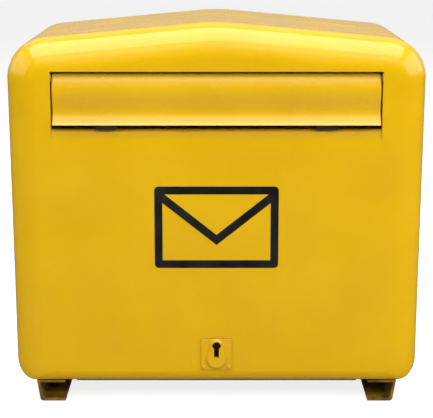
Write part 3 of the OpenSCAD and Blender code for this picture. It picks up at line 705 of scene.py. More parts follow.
@dataclass(frozen=True)
class WornPaint(Finish):
    """Yellow paint that dirt and knocks have dulled.

    Attributes:
        dirt: The colour of the dirt.
        bare: The colour of the metal under the paint.
    """

    dirt: Colour = (0.06, 0.036, 0.01)
    bare: Colour = (0.07, 0.05, 0.035)

    def lay(self, recipe: Recipe, into: bpy.types.NodeInputs) -> None:
        """Adds dirt, chips down to the metal and an uneven gloss."""
        at = recipe.place()
        dirt_and_edge_shade = SMUDGE.on(recipe, at, size=0.018, low=0.15, high=0.85)
        tone = recipe.tint(dirt_and_edge_shade, self.colour, self.dirt)
        chips = CHIPS.on(recipe, at, size=0.009, cover=0.34)
        recipe.feed(into["Base Color"], recipe.tint(chips, tone, self.bare))
        rough = SMUDGE.on(recipe, at, size=0.012, low=self.roughness - 0.1, high=self.roughness + 0.2)
        recipe.feed(into["Roughness"], rough)
        height = recipe.calc("SUBTRACT", RIPPLE.on(recipe, at, size=0.012, fine=0.3), chips)
        recipe.feed(into["Normal"], recipe.bump(height, 0.00008))


@dataclass(frozen=True)
class Film(Finish):
    """Black self-adhesive film with a fine leather-like skin."""

    def lay(self, recipe: Recipe, into: bpy.types.NodeInputs) -> None:
        """Adds a faint fade, scuffs and the film's skin."""
        at = recipe.place()
        pale = tuple(c + 0.01 for c in self.colour)
        recipe.feed(
            into["Base Color"],
            recipe.tint(SMUDGE.on(recipe, at, size=0.03, low=0.0, high=1.0), self.colour, pale),
        )
        rough = SMUDGE.on(recipe, at, size=0.02, low=self.roughness - 0.05, high=self.roughness + 0.12)
        recipe.feed(into["Roughness"], rough)
        recipe.feed(into["Normal"], recipe.bump(RIPPLE.on(recipe, at, size=0.004, fine=0.4), 0.00002))


@dataclass(frozen=True)
class Laminate(Finish):
    """The rough back of a glass-fibre moulding, with its strands showing."""

    def lay(self, recipe: Recipe, into: bpy.types.NodeInputs) -> None:
        """Adds strands, thick and thin resin and a rough surface."""
        at = recipe.place()
        strands = recipe.noise(recipe.stretch(at, (60.0, 260.0, 260.0)), 1.0, 3.0)
        across = recipe.noise(recipe.stretch(at, (260.0, 60.0, 90.0)), 1.0, 3.0)
        mat = recipe.calc("ADD", strands, across)
        pale = tuple(min(1.0, c * 1.35 + 0.02) for c in self.colour)
        recipe.feed(into["Base Color"], recipe.tint(recipe.fade(mat, 0.75, 1.25), self.colour, pale))
        rough = SMUDGE.on(recipe, at, size=0.02, low=self.roughness - 0.15, high=self.roughness + 0.1)
        recipe.feed(into["Roughness"], rough)
        recipe.feed(into["Normal"], recipe.bump(mat, 0.0006))


@dataclass(frozen=True)
class Zinc(Finish):
    """Galvanised sheet with its crystals.

    Attributes:
        crystal: The width of one crystal.
    """

    crystal: float = 0.014

    def lay(self, recipe: Recipe, into: bpy.types.NodeInputs) -> None:
        """Adds crystals of differing tone and gloss, and white bloom."""
        at = recipe.place()
        cell = SPANGLE.on(recipe, at, size=self.crystal)
        dark = tuple(c * 0.86 for c in self.colour)
        tone = recipe.tint(cell, dark, self.colour)
        bloom = CHIPS.on(recipe, at, size=0.06, cover=0.42)
        bloomed = recipe.tint(recipe.calc("MULTIPLY", bloom, 0.16), tone, ZINC_BLOOM)
        recipe.feed(into["Base Color"], bloomed)
        recipe.feed(into["Metallic"], recipe.fade(bloom, 0.0, 1.0, 0.62, 0.52))
        rough = recipe.fade(cell, 0.0, 1.0, self.roughness - 0.04, self.roughness + 0.07)
        recipe.feed(into["Roughness"], rough)
        recipe.feed(into["Normal"], recipe.bump(cell, 0.00002))


@dataclass(frozen=True)
class Metal(Finish):
    """Plain, plated or polished metal with fine lines and finger marks.

    Attributes:
        stain: The colour of oil, tarnish or rust in the hollows.
        stained: How much of it there is.
    """

    stain: Colour = (0.2, 0.17, 0.13)
    stained: float = 0.3

    def lay(self, recipe: Recipe, into: bpy.types.NodeInputs) -> None:
        """Adds lines, stains and an uneven gloss."""
        at = recipe.place()
        into["Metallic"].default_value = 1.0
        marks = SMUDGE.on(recipe, at, size=0.008, low=0.0, high=self.stained)
        recipe.feed(into["Base Color"], recipe.tint(marks, self.colour, self.stain))
        rough = SMUDGE.on(recipe, at, size=0.006, low=self.roughness - 0.06, high=self.roughness + 0.14)
        recipe.feed(into["Roughness"], rough)
        recipe.feed(into["Normal"], recipe.bump(GRAIN.on(recipe, at, fine=0.5), 0.00002))


@dataclass(frozen=True)
class Soft(Finish):
    """Rubber or plain plastic with a fine matt skin.

    Attributes:
        skin: The width of the skin's grain.
    """

    skin: float = 0.0012

    def lay(self, recipe: Recipe, into: bpy.types.NodeInputs) -> None:
        """Adds bloom and the skin's grain."""
        at = recipe.place()
        bloom = tuple(c * 1.15 + 0.012 for c in self.colour)
        patches = SMUDGE.on(recipe, at, size=0.015, low=0.0, high=0.8)
        recipe.feed(into["Base Color"], recipe.tint(patches, self.colour, bloom))
        rough = SMUDGE.on(recipe, at, size=0.01, low=self.roughness - 0.1, high=self.roughness + 0.1)
        recipe.feed(into["Roughness"], rough)
        recipe.feed(into["Normal"], recipe.bump(RIPPLE.on(recipe, at, size=self.skin, fine=0.5), 0.00004))


GEL_COAT = Gloss(
    "gel_coat", "gel_coat", YELLOW, 0.17, ripple=0.034, depth=0.00005, dust=0.07, streaks=0.05
)
FLAP_PAINT = Gloss(
    "flap_paint", "yellow_paint", YELLOW, 0.24,
    ripple=0.03, depth=0.00003, dust=0.04, streaks=0.02, coat=1.0, coat_rough=0.16,
)
# The key plate and its rivets carry painted shade on their edges and the shield's sloped sides.
PLATE_PAINT = Gloss(
    "plate_paint", "yellow_paint", (0.8, 0.452, 0.0002), 0.2,
    ripple=0.006, depth=0.00004, dust=0.05, streaks=0.03, dirt_and_edge_shade=0.85,
)
LAMINATE = Laminate("laminate_back", "gel_coat", (0.52, 0.35, 0.06), 0.62)
RAIL_PAINT = WornPaint("rail_paint", "rail_paint", (0.4, 0.225, 0.01), 0.45)
BLACK_FILM = Film("black_film", "black_film", (0.004, 0.004, 0.004), 0.42)
ZINC = Zinc("galvanised_sheet", "zinc", (0.6, 0.62, 0.63), 0.38)
PLATED = Metal("zinc_plating", "steel", (0.66, 0.66, 0.65), 0.26, (0.3, 0.26, 0.2), 0.35)
LOCK_STEEL = Metal("lock_steel", "lock_steel", (0.42, 0.42, 0.43), 0.32, (0.14, 0.12, 0.1), 0.4)
SPRING_STEEL = Metal("oiled_spring", "spring_steel", (0.2, 0.2, 0.22), 0.24, (0.06, 0.05, 0.04), 0.5)
BRASS = Metal("turned_brass", "brass", (0.72, 0.52, 0.22), 0.24, (0.3, 0.18, 0.06), 0.35)
ALUMINIUM = Metal("mill_aluminium", "door_aluminium", (0.72, 0.73, 0.74), 0.36, (0.45, 0.45, 0.44), 0.35)
NYLON = Soft("white_bearing", "white_plastic", (0.74, 0.71, 0.63), 0.45, 0.002)
RUBBER = Soft("black_rubber", "rubber", (0.018, 0.018, 0.018), 0.75, 0.0012)


# ---------------------------------------------------------------- handing over


def hand_over(piece: Object, body: Body, finishes: Sequence[Finish], nodes: Sequence[str]) -> Object:
    """Dresses a finished piece and fixes it to its body.

    Args:
        piece: The finished piece.
        body: The body that it moves with.
        finishes: Its finishes, one material for each, in order.
        nodes: The nodes that it stands for.

    Returns:
        The piece.
    """
    piece.data.materials.clear()
    for finish in finishes:
        piece.data.materials.append(finish.material())
    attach(piece, body.value)
    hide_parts(*nodes)
    LOG.info("%s: %d faces, on %s", piece.name, len(piece.data.polygons), body.value)
    return piece


@dataclass(frozen=True)
class Trimmed:
    """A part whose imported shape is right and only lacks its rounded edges.

    Attributes:
        node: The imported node.
        finish: Its finish.
        edge: The radius of its edges.
        body: The body that it moves with.
    """

    node: str
    finish: Finish
    edge: float
    body: Body = Body.HOUSING

    def copy(self) -> Object:
        """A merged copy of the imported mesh, with its flat faces whole."""
        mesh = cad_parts[self.node].data.copy()
        piece = bpy.data.objects.new(f"{self.node}_trimmed", mesh)
        mesh.name = piece.name
        bpy.context.scene.collection.objects.link(piece)
        edit_all(
            piece,
            lambda: bpy.ops.mesh.remove_doubles(threshold=WELD),
            lambda: bpy.ops.mesh.dissolve_limited(angle_limit=math.radians(0.6)),
        )
        return piece

    def build(self) -> Object:
        """Rounds the copy's edges and hands it over."""
        piece = self.copy()
        soften(piece, self.edge)
        smooth(piece)
        return hand_over(piece, self.body, [self.finish], [self.node])


def build_trimmed(parts: Iterable[Trimmed]) -> None:
    """Builds several trimmed parts."""
    for part in parts:
        part.build()


# ---------------------------------------------------------------- housing


@dataclass(frozen=True)
class Housing:
    """The moulded housing: a gabled box with a rounded front, its slot, scoop and openings.

    Attributes:
        width: Width across the top.
        wall: Thickness of the moulding.
        draft: How much narrower each side is at the floor.
        pitch: Fall of each half of the roof, in degrees.
        ridge_r: Radius across the ridge.
        eave_r: Corner radius between roof and side.
        heel_r: Corner radius between side and floor.
        brow_r: Edge radius between front and roof, and between front and sides.
        chin_r: Edge radius between front and floor.
        panel_r: Corner radius of the flat front panel.
        flange: Width of the flange round the open back.
        rim_r: Radius of the rims of the slot and the openings.
        scoop_d: Depth of the finger recess.
        scoop_h: Height over which the finger recess fades out.
        sill_d: Depth of the ledge behind the slot's lower edge.
        slot_x: Half of the slot's width.
        slot_low: Height of the slot's lower edge.
        slot_high: Height of the slot's upper edge.
        boss_r: Radius of the lock bosses.
        stud_r: Radius of the threaded studs.
        stud_l: How far a stud stands out of its nut's middle.
        gap: Clearance round a screw.
        door_lap: How far the floor door laps over the edge of its opening.
        hinge_gap: From the rear edge of the floor opening to the hinge's axis.
    """

    width: float = 580 * MM
    wall: float = 4 * MM
    draft: float = 2 * MM
    pitch: float = 5.3
    ridge_r: float = 300 * MM
    eave_r: float = 56 * MM
    heel_r: float = 27 * MM
    brow_r: float = 46 * MM
    chin_r: float = 20 * MM
    panel_r: float = 10 * MM
    flange: float = 18 * MM
    rim_r: float = 1.4 * MM
    scoop_d: float = 9 * MM
    scoop_h: float = 32 * MM
    sill_d: float = 16 * MM
    slot_x: float = 226 * MM
    slot_low: float = 397 * MM
    slot_high: float = 476 * MM
    boss_r: float = 6 * MM
    stud_r: float = 2.5 * MM
    stud_l: float = 4 * MM
    gap: float = 0.2 * MM
    door_lap: float = 6 * MM
    hinge_gap: float = 14 * MM

    @property
    def front(self) -> float:
        """The plane of the front panel."""
        return extent("shell")[0].y

    @property
    def rear(self) -> float:
        """The plane of the housing's rear edge."""
        return extent("shell")[1].y

    @property
    def floor(self) -> float:
        """The underside of the floor."""
        return extent("shell")[0].z

    def outline(self, top: float, side: float, base: float, eave: float, heel: float) -> list[Point]:
        """The housing's outline, seen from the front.

        Args:
            top: How far it lies inside the roof.
            side: How far it lies inside the sides.
            base: How far it lies inside the floor.
            eave: Corner radius at the roof.
            heel: Corner radius at the floor.

        Returns:
            The points in X and Z, clockwise from the ridge.
        """
        ridge = extent("shell")[1].z
        tilt = math.atan(self.draft / (ridge - self.floor))
        pitch = math.radians(self.pitch)
        roof_n, side_n = (math.sin(pitch), math.cos(pitch)), (math.cos(tilt), -math.sin(tilt))
        roof_c = (ridge + self.ridge_r * (1 / math.cos(pitch) - 1)) * math.cos(pitch)
        side_c = (self.width / 2 - self.draft) * math.cos(tilt) - self.floor * math.sin(tilt)
        eave_at = line_meet(roof_n, roof_c - top - eave, side_n, side_c - side - eave)
        heel_at = line_meet(side_n, side_c - side - heel, (0.0, -1.0), -self.floor - base - heel)
        tilt_turn = math.degrees(tilt)
        right = (
            arc((0.0, ridge - self.ridge_r), self.ridge_r - top, 90, 90 - self.pitch, 6)
            + arc(eave_at, eave, 90 - self.pitch, -tilt_turn, 26)
            + arc(heel_at, heel, -tilt_turn, -90, 18)
        )
        return right + [(-x, z) for x, z in reversed(right[1:])]

    def edge_radii(self) -> list[float]:
        """The front edge's radius at each point of the outline."""
        ease = [(1 - math.cos(math.pi * step / 18)) / 2 for step in range(19)]
        right = [self.brow_r] * (7 + 27) + [self.brow_r + (self.chin_r - self.brow_r) * e for e in ease]
        return right + right[:0:-1]

    def inset(self, depth: float) -> list[Point]:
        """The outer outline moved inwards."""
        return self.outline(depth, depth, depth, self.eave_r - depth, self.heel_r - depth)

    def panel(self, inside: float = 0.0) -> list[Point]:
        """The outline of the flat front panel, moved inwards."""
        reach, corner = self.brow_r + inside, self.panel_r - inside
        return self.outline(reach, reach, self.chin_r + inside, corner, corner)

    def skin(self, wall: float, steps: int) -> list[Ring]:
        """The rounded front edge, from the panel to the sides, at a depth inside the wall."""
        panel, outer, rings = self.panel(), self.inset(wall), []
        for step in range(steps + 1):
            turn = math.radians(90 * step / steps)
            rise, fall = math.sin(turn), 1 - math.cos(turn)
            rings.append([
                Vector((
                    p[0] + (o[0] - p[0]) * rise,
                    self.front + wall + (r - wall) * fall,
                    p[1] + (o[1] - p[1]) * rise,
                ))
                for p, o, r in zip(panel, outer, self.edge_radii())
            ])
        return rings

    def body(self) -> Object:
        """The hollow moulding with its rear flange, before anything is cut."""
        edge = 1.2 * MM
        rings = [ring_at(self.panel(2 * MM), Axis.Y, self.front), *self.skin(0.0, 20)]
        for step in range(5):
            turn = math.radians(90 * step / 4)
            inside = edge * (1 - math.cos(turn))
            rings.append(ring_at(self.inset(inside), Axis.Y, self.rear - edge * (1 - math.sin(turn))))
        rings.append(ring_at(self.inset(self.flange - 0.8 * MM), Axis.Y, self.rear))
        rings.append(ring_at(self.inset(self.flange), Axis.Y, self.rear - 0.8 * MM))
        rings.append(ring_at(self.inset(self.flange), Axis.Y, self.rear - self.wall))
        inner_from = len(rings) - 1
        rings.append(ring_at(self.inset(self.wall), Axis.Y, self.rear - self.wall))
        rings.extend(reversed(self.skin(self.wall, 10)))
        return loft("housing_moulding", rings, inner_from)

    def scoop(self, shift: float = 0.0, steps: int = 12) -> list[Point]:
        """The curved bottom of the finger recess, in Y and Z, from its foot up."""
        turns = [math.radians(90 * step / steps) for step in range(steps + 1)]
        return [
            (
                self.front + shift + self.scoop_d * (1 - math.cos(turn)),
                self.slot_low - self.scoop_h * (1 - math.sin(turn)),
            )
            for turn in turns
        ]

    def pan(self) -> Object:
        """The wall behind the finger recess and its ledge, a little proud of the final surface."""
        ledge = self.front + self.scoop_d + self.sill_d
        mid_wall = self.front + self.wall / 2
        face = [(max(y, mid_wall), z + BITE) for y, z in self.scoop()]
        back = [(y, z - self.wall) for y, z in reversed(self.scoop(self.wall))]
        outline = [
            (mid_wall, self.slot_low - self.scoop_h - self.wall),
            *face,
            (ledge, self.slot_low + BITE),
            (ledge, self.slot_low - self.wall),
            *back,
        ]
        reach = self.slot_x + self.wall
        return loft("pan", [ring_at(outline, Axis.X, -reach), ring_at(outline, Axis.X, reach)])

    def slot_cutter(self) -> Object:
        """Cuts the slot and the finger recess, with round rims and filleted recess ends."""
        rim, cove = self.rim_r, 6 * MM
        end = self.front + self.scoop_d + self.sill_d + BITE
        turns = [math.radians(90 * step / 6) for step in range(7)]
        top = [(self.front - BITE, self.slot_high + rim)]
        top += [
            (self.front + rim * (1 - math.cos(t)), self.slot_high + rim * (1 - math.sin(t))) for t in turns
        ]
        lids = [*top, (end, self.slot_high), (end, self.slot_low)]
        foot = [(self.front - BITE, self.slot_low - self.scoop_h)]

        def profile(depth: float, share: float) -> list[Point]:
            """The cutter's profile, no deeper than depth, with a share of the recess."""
            recess = [(self.front + (y - self.front) * share, z) for y, z in reversed(self.scoop())]
            return [(min(y, self.front + depth), z) for y, z in lids + recess + foot]

        right = [
            (self.slot_x + rim * (1 - math.sin(t)), profile(rim * (1 - math.cos(t)), 0.35))
            for t in turns[:-1]
        ]
        for step in range(7):
            in_cove = cove * step / 6
            share = 1.0 - (1 - math.sqrt(max(0.0, 1 - ((cove - in_cove) / cove) ** 2))) * cove / self.scoop_d
            right.append((self.slot_x - in_cove, profile(end - self.front, share)))
        stations = right + [(-x, outline) for x, outline in reversed(right)]
        return loft("slot_cutter", [ring_at(outline, Axis.X, x) for x, outline in stations])

    def bosses(self) -> list[Object]:
        """The four lock bosses and the four bracket studs inside the front wall."""
        root, seat = self.front + self.wall / 2, extent("lock_case")[0].y
        posts = pins("lock_screws", self.boss_r, Axis.Y, root, seat)
        studs = [
            bar("stud", self.stud_r, Vector((p.x, root, p.z)), Vector((p.x, p.y + self.stud_l, p.z)))
            for p in middles("bracket_nuts")
        ]
        return posts + studs

    def openings(self) -> list[Object]:
        """Cutters for the floor opening, the keyhole and the bolt, screw, rivet and tab holes."""
        low, high = extent("floor_door")
        lap, hinge_y = self.door_lap, middles("hinge_pin")[0].y
        corner, far = (low.x + lap, low.y + lap), (high.x - lap, hinge_y - self.hinge_gap)
        inner, through = self.front + self.wall + BITE, self.floor + self.wall + BITE
        key, tab = KeyPlate(), extent("key_plate")[1]
        made = [
            flared("floor_cutter", lambda grow: round_box(
                (corner[0] - grow, corner[1] - grow), (far[0] + grow, far[1] + grow), 3 * MM + grow,
            ), Axis.Z, self.floor, through, 1.2 * MM),
            loft("key_cutter", [ring_at(key.keyhole(1 * MM), Axis.Y, y) for y in (self.front - BITE, inner)]),
            loft("tab_cutter", [
                ring_at(round_box(
                    (-key.tab_w - self.gap, tab.z - key.plate_t - self.gap),
                    (key.tab_w + self.gap, tab.z + self.gap),
                    0.6 * MM,
                    3,
                ), Axis.Y, y) for y in (self.front - BITE, inner)
            ]),
        ]
        for node, radius in (("rail_bolts", 3 * MM), ("hinge_screws", 2 * MM)):
            made += pins(node, radius + self.gap, Axis.Z, self.floor - BITE, through)
        before = self.front - BITE
        made += pins("key_plate_rivets", key.rivet_r + self.gap, Axis.Y, before, inner)
        flange = self.rear - self.wall - BITE
        made += pins("back_screws", self.stud_r + self.gap, Axis.Y, flange, self.rear + BITE)
        thread, seat = self.front + self.wall + 6 * MM, extent("lock_case")[0].y
        made += pins("lock_screws", 2 * MM + self.gap, Axis.Y, thread, seat + BITE)
        return made

    def build(self) -> Object:
        """Moulds the body, adds pan and bosses, and cuts the openings."""
        piece = self.body()
        carve(piece, self.pan(), *self.bosses(), add=True)
        carve(piece, self.slot_cutter())
        carve(piece, *self.openings())
        smooth(piece, 28.0)
        return hand_over(piece, Body.HOUSING, [GEL_COAT, LAMINATE], ["shell"])


# ---------------------------------------------------------------- front fittings


@dataclass(frozen=True)
class KeyPlate:
    """The riveted plate round the keyhole, with its raised shield.

    Attributes:
        key_r: Radius of the keyhole's round head.
        slot_w: Width of the keyhole's stem.
        slot_l: Length of the stem below the key's axis.
        ear: How far the head's two small ears stand out.
        shield_h: How far the shield stands proud of the plate.
        plate_t: Thickness of the plate.
        rivet_r: Radius of a rivet's shank.
        tab_w: Half of the tab's width.
    """

    key_r: float = 5.5 * MM
    slot_w: float = 6.5 * MM
    slot_l: float = 17 * MM
    ear: float = 0.9 * MM
    shield_h: float = 3 * MM
    plate_t: float = 2 * MM
    rivet_r: float = 2 * MM
    tab_w: float = 10 * MM

    @property
    def key_z(self) -> float:
        """The height of the key's axis."""
        return extent("key_plate")[1].z - 10 * MM

    def keyhole(self, grow: float) -> list[Point]:
        """The keyhole's outline, grown by a distance."""
        half, radius = self.slot_w / 2 + grow, self.key_r + grow
        start = -90 + math.degrees(math.asin(half / radius))
        points = []
        for step in range(41):
            turn = start + (180 - 2 * start) * step / 40
            off = min(abs(turn + 8), abs(turn - 188))
            reach = radius + self.ear * math.exp(-((off / 13) ** 2))
            points.append((
                reach * math.cos(math.radians(turn)),
                self.key_z + reach * math.sin(math.radians(turn)),
            ))
        foot = self.key_z - self.slot_l - grow
        return points + [(-half, foot), (half, foot)]

    def shield_outline(self, grow: float) -> list[Point]:
        """The shield's outline: a wide round foot and a narrower round top."""
        low, high = extent("key_plate")
        foot, crown = 15.5 * MM + grow, 10 * MM + grow
        foot_z, crown_z = low.z + 17 * MM, high.z - 10.4 * MM
        lean = math.degrees(math.asin((foot - crown) / (crown_z - foot_z)))
        top = arc((0.0, crown_z), crown, lean, 180 - lean, 24)
        return top + arc((0.0, foot_z), foot, 180 - lean, 360 + lean, 30)

    def build(self) -> None:
        """Makes the plate with its shield and keyhole, and the two domed rivets."""
        low, high = extent("key_plate")
        front = low.y + self.shield_h
        back = front + self.plate_t
        edge, corner = 1.1 * MM, 2.2 * MM
        rings = []
        for step in range(5):
            turn = math.radians(90 * step / 4)
            inside = edge * (1 - math.sin(turn))
            outline = round_box(
                (low.x + inside, low.z + inside), (high.x - inside, high.z - inside), corner - inside
            )
            rings.append(ring_at(outline, Axis.Y, front + edge * (1 - math.cos(turn))))
        rings.append(ring_at(round_box((low.x, low.z), (high.x, high.z), corner), Axis.Y, back))
        piece = loft("key_plate_pressing", rings)
        boss = []
        for step in range(10):
            turn = math.radians(90 * step / 9)
            grow = -4.2 * MM * math.cos(turn)
            rise = self.shield_h * (1 - (1 - math.cos(turn)) ** 1.4)
            boss.append(ring_at(self.shield_outline(grow), Axis.Y, front - rise))
        boss.append(ring_at(self.shield_outline(0.0), Axis.Y, front + BITE))
        carve(piece, loft("shield", boss), add=True)
        carve(piece, self.tab(front, high), add=True)
        carve(piece, flared("key_cutter", self.keyhole, Axis.Y, low.y, back + BITE, 0.9 * MM))
        smooth(piece)
        hand_over(piece, Body.HOUSING, [PLATE_PAINT], ["key_plate"])
        self.rivets(front)

    def tab(self, front: float, high: Vector) -> Object:
        """The folded tab that hooks through the front wall."""
        low_corner = Vector((-self.tab_w, front + BITE, high.z - self.plate_t))
        high_corner = Vector((self.tab_w, high.y, high.z - 0.01 * MM))
        outline = round_box((low_corner.x, low_corner.z), (high_corner.x, high_corner.z), 0.4 * MM, 3)
        return loft("tab", [ring_at(outline, Axis.Y, low_corner.y), ring_at(outline, Axis.Y, high_corner.y)])

    def rivets(self, front: float) -> None:
        """Two domed rivets, each turned from a bar."""
        low, high = extent("key_plate_rivets")
        head = 3.2 * MM
        parts = []
        for x in (low.x + head, high.x - head):
            centre = (x, low.z + head)
            rings = []
            for step in range(9):
                turn = math.radians(90 * step / 8)
                radius = max(0.15 * MM, head * math.sin(turn))
                dome_y = front - 1.6 * MM * math.cos(turn)
                rings.append(ring_at(arc(centre, radius, 0, 345, 23), Axis.Y, dome_y))
            shank = (
                (head, front + 0.2 * MM),
                (self.rivet_r, front + 0.2 * MM),
                (self.rivet_r, high.y - 1.4 * MM),
                (head, high.y - 1.4 * MM),
                (head, high.y - 0.6 * MM),
                (head * 0.7, high.y),
            )
            rings += [ring_at(arc(centre, radius, 0, 345, 23), Axis.Y, y) for radius, y in shank]
            parts.append(loft("rivet", rings))
        piece = join(parts)
        piece.name = piece.data.name = "domed_rivets"
        smooth(piece)
        hand_over(piece, Body.HOUSING, [PLATE_PAINT], ["key_plate_rivets"])


@dataclass(frozen=True)
class LetterFlap:
    """The pressed flap over the slot, with folded ends, hinge sleeves and a flared lip.

    Attributes:
        sheet: Thickness of the sheet.
        recess: How far the top edge lies behind the front panel.
        proud: How far the lip stands in front of it.
        hollow: Depth of the hollow above the lip.
        crown: Share of the height that the crown takes.
        swell: How much steeper the crown is at its top than a straight slope.
        valley: Share of the height at which the lip's flare starts.
        fold_r: Radius of the folded ends.
        corner_r: Radius of the top corners, seen from the front.
    """

    sheet: float = 2.5 * MM
    recess: float = 9 * MM
    proud: float = 6 * MM
    hollow: float = 2.5 * MM
    crown: float = 0.38
    swell: float = 2.3
    valley: float = 0.73
    fold_r: float = 3.6 * MM
    corner_r: float = 4 * MM

    def face_y(self, share: float) -> float:
        """How far the face lies behind the front panel, at a share of the height from the top."""
        if share < self.crown:
            return self.recess * (1 - share / self.crown) ** self.swell
        if share < self.valley:
            run = (share - self.crown) / (self.valley - self.crown)
            return self.hollow * (1 - math.cos(math.pi * run)) / 2
        run = (share - self.valley) / (1 - self.valley)
        return self.hollow - (self.hollow + self.proud) * (1 - math.cos(math.pi / 2 * run))

    def station(self, off: float, back: float, cheek: bool) -> list[Point]:
        """The flap's section at a distance from its end.

        Args:
            off: The distance from the end.
            back: How far the fold has drawn the face back.
            cheek: True where the section is that of the folded end.

        Returns:
            The points in Y and Z, down the face and up the back.
        """
        low, high = extent("letter_flap")
        front = extent("shell")[0].y
        height = high.z - low.z
        shares = [step / 44 for step in range(45)]
        drop = 0.0
        if off < self.corner_r:
            drop = self.corner_r - math.sqrt(self.corner_r**2 - (self.corner_r - off) ** 2)
        sleeve = high.y
        face, rear = [], []
        for share in shares:
            z = min(high.z - share * height, high.z - drop)
            y = front + self.face_y(share) + back
            face.append((y, z))
            bottom = self.proud / height
            rise = (1 - share - bottom) / (0.5 - bottom)
            depth = sleeve - front - self.sheet - self.hollow
            reach = front + self.sheet + self.hollow + depth * min(1.0, rise)
            rear.append((max(y + self.sheet, reach) if cheek and rise > 0 else y + self.sheet, z))
        return face + rear[::-1]

    def build(self) -> None:
        """Makes the flap, its rod and its bushes."""
        half = extent("letter_flap")[1].x
        right = []
        for step in range(9):
            turn = math.radians(90 - 90 * step / 8)
            off = self.fold_r * (1 - math.sin(turn))
            right.append((off, self.fold_r * (1 - math.cos(turn))))
        stations = []
        for off, back in right:
            if off <= self.sheet:
                stations.append((half - off, self.station(off, back, True)))
        off = self.sheet
        back = self.fold_r - math.sqrt(self.fold_r**2 - (self.fold_r - off) ** 2)
        stations.append((half - off, self.station(off, back, True)))
        stations.append((half - off, self.station(off, back, False)))
        for off, back in right:
            if off > self.sheet:
                stations.append((half - off, self.station(off, back, False)))
        stations.append((half - 2 * self.corner_r, self.station(2 * self.corner_r, 0.0, False)))
        stations += [(-x, outline) for x, outline in reversed(stations)]
        piece = loft("letter_flap_pressing", [ring_at(outline, Axis.X, x) for x, outline in stations])
        rod_low, rod_high = extent("flap_rod")
        axis_y, axis_z = (rod_low.y + rod_high.y) / 2, (rod_low.z + rod_high.z) / 2
        arm = 15 * MM
        sleeves = [
            bar("sleeve", 5 * MM, Vector((x - arm, axis_y, axis_z)), Vector((x + arm, axis_y, axis_z)))
            for x in (-150 * MM, 0.0, 150 * MM)
        ]
        carve(piece, *sleeves, add=True)
        reach = half + BITE
        bore = bar("bore", 3.05 * MM, Vector((-reach, axis_y, axis_z)), Vector((reach, axis_y, axis_z)), 48)
        carve(piece, bore)
        soften(piece, 0.5 * MM, 2, 50)
        smooth(piece, 35)
        hand_over(piece, Body.FLAP, [FLAP_PAINT], ["letter_flap"])
        build_trimmed((
            Trimmed("flap_rod", PLATED, 0.5 * MM, Body.FLAP),
            Trimmed("flap_bushes", NYLON, 0.3 * MM),
        ))


# ---------------------------------------------------------------- rails and door


@dataclass(frozen=True)
class Rails:
    """The two open rails under the floor that carry the collecting bag, with their bolts.

    Attributes:
        wall: Thickness of the rails.
        lean: How far a rail leans in from top to bottom.
    """

    wall: float = 4 * MM
    lean: float = 5 * MM

    def build(self) -> None:
        """Makes both rails from one profile, then their bolts and nuts."""
        for side, node in ((1, "rail_right"), (-1, "rail_left")):
            piece = self.rail(side, node)
            hand_over(piece, Body.HOUSING, [RAIL_PAINT], [node])
        build_trimmed((
            Trimmed("rail_bolts", PLATED, 0.4 * MM),
            Trimmed("rail_nuts", PLATED, 0.4 * MM),
        ))

    def rail(self, side: int, node: str) -> Object:
        """One rail, open towards the middle.

        Args:
            side: 1 for the right rail and -1 for the left one.
            node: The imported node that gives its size.

        Returns:
            The rail.
        """
        low, high = extent(node)
        inner, outer = min(abs(low.x), abs(high.x)), max(abs(low.x), abs(high.x))
        foot, top, t = outer - self.lean, high.z, self.wall
        lip = 0.9 * MM
        profile = rounded((
            (inner, 0.0, lip), (foot, 0.0, 5 * MM), (outer, top, lip), (inner, top, lip),
            (inner, top - t, lip), (outer - t, top - t, 1.2 * MM), (foot - t, t, 2.4 * MM), (inner, t, lip),
        ))
        edge = 0.7 * MM
        outline = [(side * x, z) for x, z in profile]
        piece = loft(f"{node}_profile", [ring_at(outline, Axis.Y, y) for y in (low.y, high.y)])
        holes = [
            bar("hole", 3.2 * MM, Vector((p.x, p.y, top - t - BITE)), Vector((p.x, p.y, top + BITE)))
            for p in middles("rail_bolts") if p.x * side > 0
        ]
        carve(piece, *holes)
        soften(piece, edge, 2, 60)
        smooth(piece, 35)
        return piece


